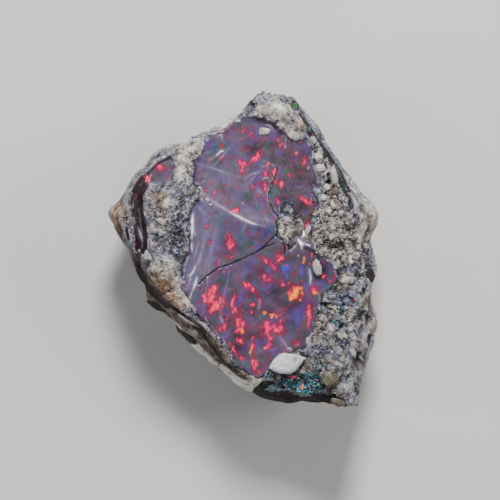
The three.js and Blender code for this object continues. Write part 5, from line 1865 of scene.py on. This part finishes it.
@dataclass
class SandGrains:
    """Thousands of angular grains, half sunk into the sandy crust."""

    count: int = 8000
    smallest: float = 0.04
    largest: float = 0.17
    seed: int = 11
    # Minerals that carry few grains, and the share of grains that each keeps off.
    kept_off: tuple[tuple[Mineral, float], ...] = (
        (Mineral.CLAY, 0.85), (Mineral.LAVENDER, 0.7), (Mineral.POTCH, 1.0), (Mineral.TEAL, 1.0),
        (Mineral.MAROON, 1.0), (Mineral.RIND, 1.0),
    )
    # Colours of the grains on plain sand and on two minerals.
    palettes: dict[Mineral | None, tuple[Colour, ...]] = field(
        default_factory=lambda: {
            None: (
                paint(168, 163, 162), paint(138, 132, 132), paint(110, 108, 120), paint(74, 76, 98),
                paint(34, 34, 50), paint(164, 154, 142), paint(112, 104, 104), paint(150, 146, 152),
            ),
            Mineral.BROWN_SAND: (
                paint(186, 180, 174), paint(160, 152, 144), paint(118, 102, 92), paint(84, 68, 60),
                paint(176, 170, 166), paint(50, 42, 40), paint(134, 122, 114), paint(150, 142, 140),
            ),
            Mineral.INDIGO: (
                paint(50, 54, 84), paint(30, 33, 58), paint(76, 80, 108), paint(24, 24, 34),
                paint(108, 110, 128), paint(42, 46, 76), paint(64, 67, 94), paint(134, 131, 138),
            ),
        }
    )

    def weights(self, fields: SurfaceFields) -> tuple[Array, dict[Mineral, Array]]:
        """How likely each triangle is to carry a grain.

        Args:
            fields: The stone's surface and fields.

        Returns:
            The triangles' areas times how sandy they are and how well they are seen, and the
            minerals at their first corners.
        """
        faces, points = fields.surface.faces, fields.surface.points
        a, b, c = (points[faces[:, corner]] for corner in range(3))
        area = np.linalg.norm(np.cross(b - a, c - a), axis=1) / 2
        at = faces[:, 0]
        minerals = {mineral: amount[at] for mineral, amount in fields.minerals.items()}
        sandy = rise(np.minimum(*fields.glass_edges)[at], 0.1, 0.3)
        for mineral, share in self.kept_off:
            sandy = sandy * (1 - share * rise(minerals[mineral], 0.1, 0.5))
        sandy = sandy * (1 - 0.8 * fields.lines[2][at])
        seen = (0.35 + 1.3 * rise(a[:, 2], 5.5, 8.0)) * rise(a[:, 2], 0.3, 0.9)
        return area * sandy * seen, minerals

    def build(self, fields: SurfaceFields, effects: Effects) -> None:
        """Makes the grains as one mesh.

        Args:
            fields: The stone's surface and fields.
            effects: The shared shader groups.
        """
        draw = np.random.default_rng(self.seed)
        surface = fields.surface
        weights, minerals = self.weights(fields)
        chosen = draw.choice(len(weights), self.count, p=weights / weights.sum())
        corners = surface.faces[chosen]
        share = draw.dirichlet((1, 1, 1), self.count)
        middles = np.einsum("nc,ncx->nx", share, surface.points[corners])
        outward = surface.normals[corners[:, 0]]
        spread = draw.random(self.count) ** 2.6
        coarse = 0.55 + 0.6 * rise(minerals[Mineral.BROWN_SAND][chosen], 0.2, 0.6)
        sizes = self.smallest + (self.largest - self.smallest) * spread * coarse

        points = BALL_POINTS[None] * draw.uniform(0.72, 1.18, (self.count, len(BALL_POINTS), 1))
        points = points * draw.uniform(0.75, 1.35, (self.count, 1, 3))
        turns = draw.normal(size=(self.count, 4))
        w, x, y, z = (turns / np.linalg.norm(turns, axis=1, keepdims=True)).T
        rows = np.array(
            [
                [1 - 2 * (y * y + z * z), 2 * (x * y - z * w), 2 * (x * z + y * w)],
                [2 * (x * y + z * w), 1 - 2 * (x * x + z * z), 2 * (y * z - x * w)],
                [2 * (x * z - y * w), 2 * (y * z + x * w), 1 - 2 * (x * x + y * y)],
            ]
        )
        points = np.einsum("abn,nib->nia", rows, points) * sizes[:, None, None]
        sunk = draw.uniform(-0.65, 0.0, self.count) * sizes
        points = points + (middles + outward * sunk[:, None])[:, None]
        points[..., 2] = np.maximum(points[..., 2], 0.02)
        faces = BALL_FACES[None] + len(BALL_POINTS) * np.arange(self.count)[:, None, None]

        pick = draw.integers(0, len(self.palettes[None]), self.count)
        tone = draw.uniform(0.8, 1.15, (self.count, 1))
        colours = np.array(self.palettes[None])[pick]
        for mineral in (Mineral.BROWN_SAND, Mineral.INDIGO):
            near = (minerals[mineral][chosen] > draw.uniform(0.25, 0.7, self.count))[:, None]
            colours = np.where(near, np.array(self.palettes[mineral])[pick], colours)
        colours = colours[:, :3] * tone

        piece = mesh_object("sand_grains", points.reshape(-1, 3), faces.reshape(-1, 3), smooth=False)
        each = np.repeat(colours, len(BALL_POINTS), axis=0)
        store_fields(piece, "grain", each.T)
        store_unwrapping(piece, self.unwrapping())
        dress(piece, GrainFinish(effects, "sand_grain", scale=6.0, coat=0.25).build())
        LOG.info("%s: %d grains", piece.name, self.count)

    def unwrapping(self) -> Array:
        """Gives each grain a small square of its own, which all its faces share."""
        across = math.ceil(math.sqrt(self.count))
        row, column = np.divmod(np.arange(self.count), across)
        corner = np.array([(0.15, 0.15), (0.85, 0.15), (0.5, 0.85)]) / across
        place = np.stack([column, row], 1) / across
        places = place[:, None, None] + corner[None, None]
        return np.broadcast_to(places, (self.count, len(BALL_FACES), 3, 2))


@dataclass(frozen=True)
class Pebble:
    """One larger grain.

    The point narrows its ends, flats are how many faces are cut on it at random, and bumps are how
    uneven it is.
    """

    x: float
    y: float
    half_x: float
    half_y: float
    turn: float
    colour: Colour
    height: float = 0.3
    lift: float = 0.0
    point: float = 0.0
    flats: int = 17
    bumps: float = 0.46


@dataclass
class Pebbles:
    """Larger grains that stand out of the crust, each a bumpy lump with flats."""

    across: int = 26
    up: int = 15
    seed: int = 23
    lowest: float = 5.0
    flat_levels: tuple[float, float] = (0.5, 0.86)
    pebbles: tuple[Pebble, ...] = (
        Pebble(3.8, -9.55, 1.55, 0.96, 17, paint(240, 236, 247), 0.5, 0.55, 0.85, 3, 0.22),
        Pebble(6.35, 7.95, 0.46, 0.44, -10, paint(226, 220, 212), 0.35, 0.18),
        Pebble(5.9, 9.4, 0.3, 0.55, 30, paint(210, 202, 192), 0.3, 0.1),
        Pebble(6.55, 7.05, 0.62, 0.42, -24, paint(230, 222, 212), 0.35, 0.18),
        Pebble(7, 5.35, 0.34, 0.5, -14, paint(222, 214, 202), 0.35, 0.16),
        Pebble(6.3, 4.95, 0.14, 0.28, 0, paint(224, 218, 208), 0.3, 0.14),
        Pebble(6.75, 4.5, 0.38, 0.36, 0, paint(232, 226, 218), 0.3, 0.2),
        Pebble(7.5, 3.8, 0.26, 0.46, 14, paint(206, 200, 188), 0.3, 0.16),
        Pebble(1.75, 10.1, 0.68, 0.5, 10, paint(206, 198, 184), 0.16, 0.06, 0, 18, 0.6),
        Pebble(8.05, -12.95, 0.85, 0.42, -18, paint(92, 80, 58), 0.5, 1.5),
        Pebble(7.65, 6.55, 0.26, 1.2, 5, paint(212, 203, 190), 0.35, 0.12),
        Pebble(7.75, 5, 0.55, 0.56, 0, paint(112, 88, 74), 0.4, 0.1),
        Pebble(9.5, -0.5, 0.36, 0.6, -10, paint(200, 192, 178), 0.35, 0.12),
        Pebble(7.3, -6.65, 0.4, 0.5, 0, paint(206, 202, 196), 0.35, 0.1),
        Pebble(7.3, -10.8, 0.95, 0.8, 35, paint(100, 90, 62), 0.5, 0.1),
        Pebble(5.42, 1.7, 0.32, 0.62, -8, paint(214, 208, 200), 0.3, 0.14),
        Pebble(6.25, -1.5, 1.05, 0.5, 98, paint(196, 192, 184), 0.32, 0.1, 0.5, 16, 0.6),
        Pebble(-4.55, 4.95, 0.72, 0.55, 20, paint(86, 80, 70), 0.4, 0.02),
        Pebble(8.6, -2.7, 0.5, 0.4, 0, paint(194, 186, 176), 0.3, 0.08),
        Pebble(8.3, 3.2, 0.34, 0.28, 30, paint(212, 206, 196), 0.3, 0.1),
        Pebble(7.4, 1.2, 0.3, 0.36, 10, paint(208, 200, 188), 0.3, 0.1),
        Pebble(8.1, -0.3, 0.3, 0.24, -20, paint(198, 190, 180), 0.28, 0.1),
        Pebble(7.1, 3.3, 0.28, 0.32, 40, paint(204, 194, 178), 0.28, 0.1),
        Pebble(-6.9, 1.4, 0.36, 0.3, 0, paint(176, 170, 170), 0.28, 0.05),
        Pebble(-7.2, -1.7, 0.4, 0.3, 30, paint(190, 180, 160), 0.3, 0.05),
        Pebble(-5.9, 4, 0.34, 0.3, 0, paint(168, 160, 156), 0.28, 0.05),
        Pebble(-8.2, -0.75, 0.7, 0.9, 20, paint(50, 44, 60), 0.42, -0.05, 0, 6, 0.4),
    )
    # Where smaller ones are strewn: middle, half sizes, how many, their size and their colours.
    beds: tuple[tuple[float, float, float, float, int, float, tuple[Colour, ...]], ...] = (
        (7.5, 1.9, 1.2, 2.3, 46, 0.2, (
            paint(196, 188, 178), paint(170, 160, 148), paint(132, 112, 96), paint(206, 200, 192),
            paint(96, 76, 66),
        )),
        (7.4, -7.6, 1.5, 3.4, 40, 0.34, (
            paint(150, 146, 146), paint(118, 106, 88), paint(92, 96, 118), paint(176, 168, 156),
            paint(70, 66, 72), paint(60, 92, 102),
        )),
    )

    def shape(self, pebble: Pebble, surface: Surface, seed: float) -> Array:
        """Points of one pebble.

        Args:
            pebble: The pebble.
            surface: The stone's surface, for the level that the pebble lies at.
            seed: Sets this pebble's bumps apart from the others'.

        Returns:
            Rings of points from pole to pole: a ball made bumpy by noise and cut by flats at random
            levels, then stretched to its half sizes and narrowed towards both ends by its point.
        """
        rise_angle = np.linspace(-math.pi / 2, math.pi / 2, self.up)[:, None]
        around = np.linspace(0, 2 * math.pi, self.across, endpoint=False)[None]
        x, y = np.cos(rise_angle) * np.cos(around), np.cos(rise_angle) * np.sin(around)
        unit = np.stack(np.broadcast_arrays(x, y, np.sin(rise_angle)), axis=-1).reshape(-1, 3)
        bumps = noise_at(unit, 0.8, seed) + 0.4 * noise_at(unit, 0.35, seed)
        unit *= (1 + pebble.bumps * bumps)[:, None]
        draw = np.random.default_rng(int(seed * 10))
        for _ in range(pebble.flats):
            facing = draw.normal(size=3)
            facing /= np.linalg.norm(facing)
            unit -= np.maximum(unit @ facing - draw.uniform(*self.flat_levels), 0)[:, None] * facing
        narrow = 1 - pebble.point * np.maximum(unit[:, 0], -0.6 * unit[:, 0]) ** 1.4
        local = unit * (pebble.half_x, pebble.half_y, pebble.height)
        local[:, 1:] *= narrow[:, None]
        local[:, 0], local[:, 1] = turned(local[:, 0], local[:, 1], pebble.turn)
        x, y, z = surface.points.T
        below = (np.hypot(x - pebble.x, y - pebble.y) < max(pebble.half_x, 0.2)) & (z > self.lowest)
        return local + (pebble.x, pebble.y, float(z[below].mean()) + pebble.lift)

    def strewn(self) -> list[Pebble]:
        """Draws the smaller pebbles of each bed."""
        draw = np.random.default_rng(self.seed)
        pebbles = []
        for x, y, half_x, half_y, count, size, colours in self.beds:
            for _ in range(count):
                angle, share = draw.uniform(0, 2 * math.pi), math.sqrt(draw.random())
                half = size * draw.uniform(0.6, 1.4)
                pebbles.append(
                    Pebble(
                        x + half_x * share * math.cos(angle), y + half_y * share * math.sin(angle),
                        half, half * draw.uniform(0.6, 1.2), draw.uniform(0, 180),
                        colours[draw.integers(len(colours))], half, draw.uniform(-0.2, 0.04),
                    )
                )
        return pebbles

    def faces(self) -> Array:
        """Triangles of one pebble, whose poles' rings have shrunk to points."""
        rows, columns = np.meshgrid(np.arange(self.up - 1), np.arange(self.across), indexing="ij")
        a = rows * self.across + columns
        b = rows * self.across + (columns + 1) % self.across
        c, d = b + self.across, a + self.across
        lower, upper = rows.ravel() > 0, rows.ravel() < self.up - 2
        first = np.stack([a, b, c], 2).reshape(-1, 3)[lower]
        second = np.stack([a, c, d], 2).reshape(-1, 3)[upper]
        return np.concatenate([first, second])

    def build(self, surface: Surface, effects: Effects) -> None:
        """Makes the pebbles as one mesh.

        Args:
            surface: The stone's surface.
            effects: The shared shader groups.
        """
        pebbles = self.pebbles + tuple(self.strewn())
        shapes = [self.shape(pebble, surface, 3.7 + 5.1 * i) for i, pebble in enumerate(pebbles)]
        count = self.across * self.up
        faces = np.concatenate([self.faces() + count * i for i in range(len(shapes))])
        used, packed = np.unique(self.closed(faces, count), return_inverse=True)
        points = np.concatenate(shapes)[used]
        colours = np.repeat([pebble.colour[:3] for pebble in pebbles], count, axis=0)[used]
        colours = colours * (0.78 + 0.2 * noise_at(points, 0.3, 5.5))[:, None]
        piece = mesh_object("crust_pebbles", points, packed.reshape(-1, 3))
        store_fields(piece, "grain", colours.T)
        dress(piece, GrainFinish(effects, "crust_pebble", scale=2.2, coat=0.35).build())
        LOG.info("%s: %d pebbles", piece.name, len(shapes))

    def closed(self, faces: Array, count: int) -> Array:
        """Makes each pole one corner: every number in a pole's ring becomes the ring's first."""
        place = faces % count
        low = place < self.across
        high = place >= count - self.across
        faces = np.where(low, faces - place, faces)
        return np.where(high, faces - place + count - self.across, faces)


@dataclass(frozen=True)
class Lamp:
    """A soft square light: direction as azimuth and elevation in degrees, size, power and tint."""

    azimuth: float
    elevation: float
    size: float
    power: float
    tint: tuple[float, float, float] = (1.0, 1.0, 1.0)
    distance: float = 0.32


@dataclass
class Studio:
    """Floor, lights, sky and camera."""

    floor_size: float = 1.2
    camera_x: float = 0.47
    camera_height: float = 0.3
    window_level: float = 9.3
    view_width: float = 42.7
    sky: float = 0.16
    sky_colour: Colour = paint(226, 230, 236)
    floor_colour: Colour = paint(206, 204, 201)
    lamps: tuple[Lamp, ...] = (
        Lamp(86, 44, 0.08, 1.7),
        Lamp(10, 34, 0.12, 0.4, (1.0, 0.98, 0.95)),
        Lamp(190, 30, 0.16, 0.3, (0.92, 0.95, 1.0)),
        Lamp(270, 40, 0.2, 0.15, (1.0, 0.97, 0.93)),
    )

    def floor(self) -> None:
        """Makes the plain pale floor at z = 0."""
        half = self.floor_size / 2 / MM
        corners = np.array([(-half, -half, 0), (half, -half, 0), (half, half, 0), (-half, half, 0)])
        piece = mesh_object("floor", corners, np.array([(0, 1, 2), (0, 2, 3)]), smooth=False)
        material, graph, shader = new_material("floor_paper")
        graph.feed(shader, {"Base Color": self.floor_colour, "Roughness": 0.9})
        piece.data.materials.append(material)

    def lights(self) -> None:
        """Hangs the lamps round the stone, each facing it, under an even sky."""
        for number, lamp in enumerate(self.lamps):
            light = bpy.data.lights.new(f"lamp_{number}", "AREA")
            light.shape = "SQUARE"
            light.size = lamp.size
            light.energy = lamp.power
            light.color = lamp.tint
            holder = bpy.data.objects.new(light.name, light)
            holder.location = lamp.distance * direction(lamp.azimuth, lamp.elevation)
            holder.rotation_euler = (math.radians(90 - lamp.elevation), 0, math.radians(lamp.azimuth + 90))
            bpy.context.scene.collection.objects.link(holder)
        world = bpy.data.worlds.new("sky")
        world.use_nodes = True
        background = world.node_tree.nodes["Background"]
        background.inputs["Color"].default_value = self.sky_colour
        background.inputs["Strength"].default_value = self.sky
        bpy.context.scene.world = world

    def camera(self) -> None:
        """Sets the camera straight above the window, with the view's width framed at the window's level."""
        camera = bpy.data.cameras.new("camera")
        camera.lens = camera.sensor_width * self.camera_height / (self.view_width * MM)
        camera.clip_start = 0.01
        holder = bpy.data.objects.new("camera", camera)
        holder.location = (self.camera_x * MM, 0, self.window_level * MM + self.camera_height)
        bpy.context.scene.collection.objects.link(holder)
        bpy.context.scene.camera = holder

    def build(self) -> None:
        """Makes the whole studio."""
        self.camera()
        self.floor()
        self.lights()


def main() -> None:
    """Builds the stone and its studio."""
    logging.basicConfig(level=logging.INFO, format="%(name)s: %(message)s")
    effects = Effects.build()
    fields = Stone().build(effects)
    SandGrains().build(fields, effects)
    Pebbles().build(fields.surface, effects)
    Studio().build()
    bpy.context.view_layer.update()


if __name__ == "__main__":
    main()
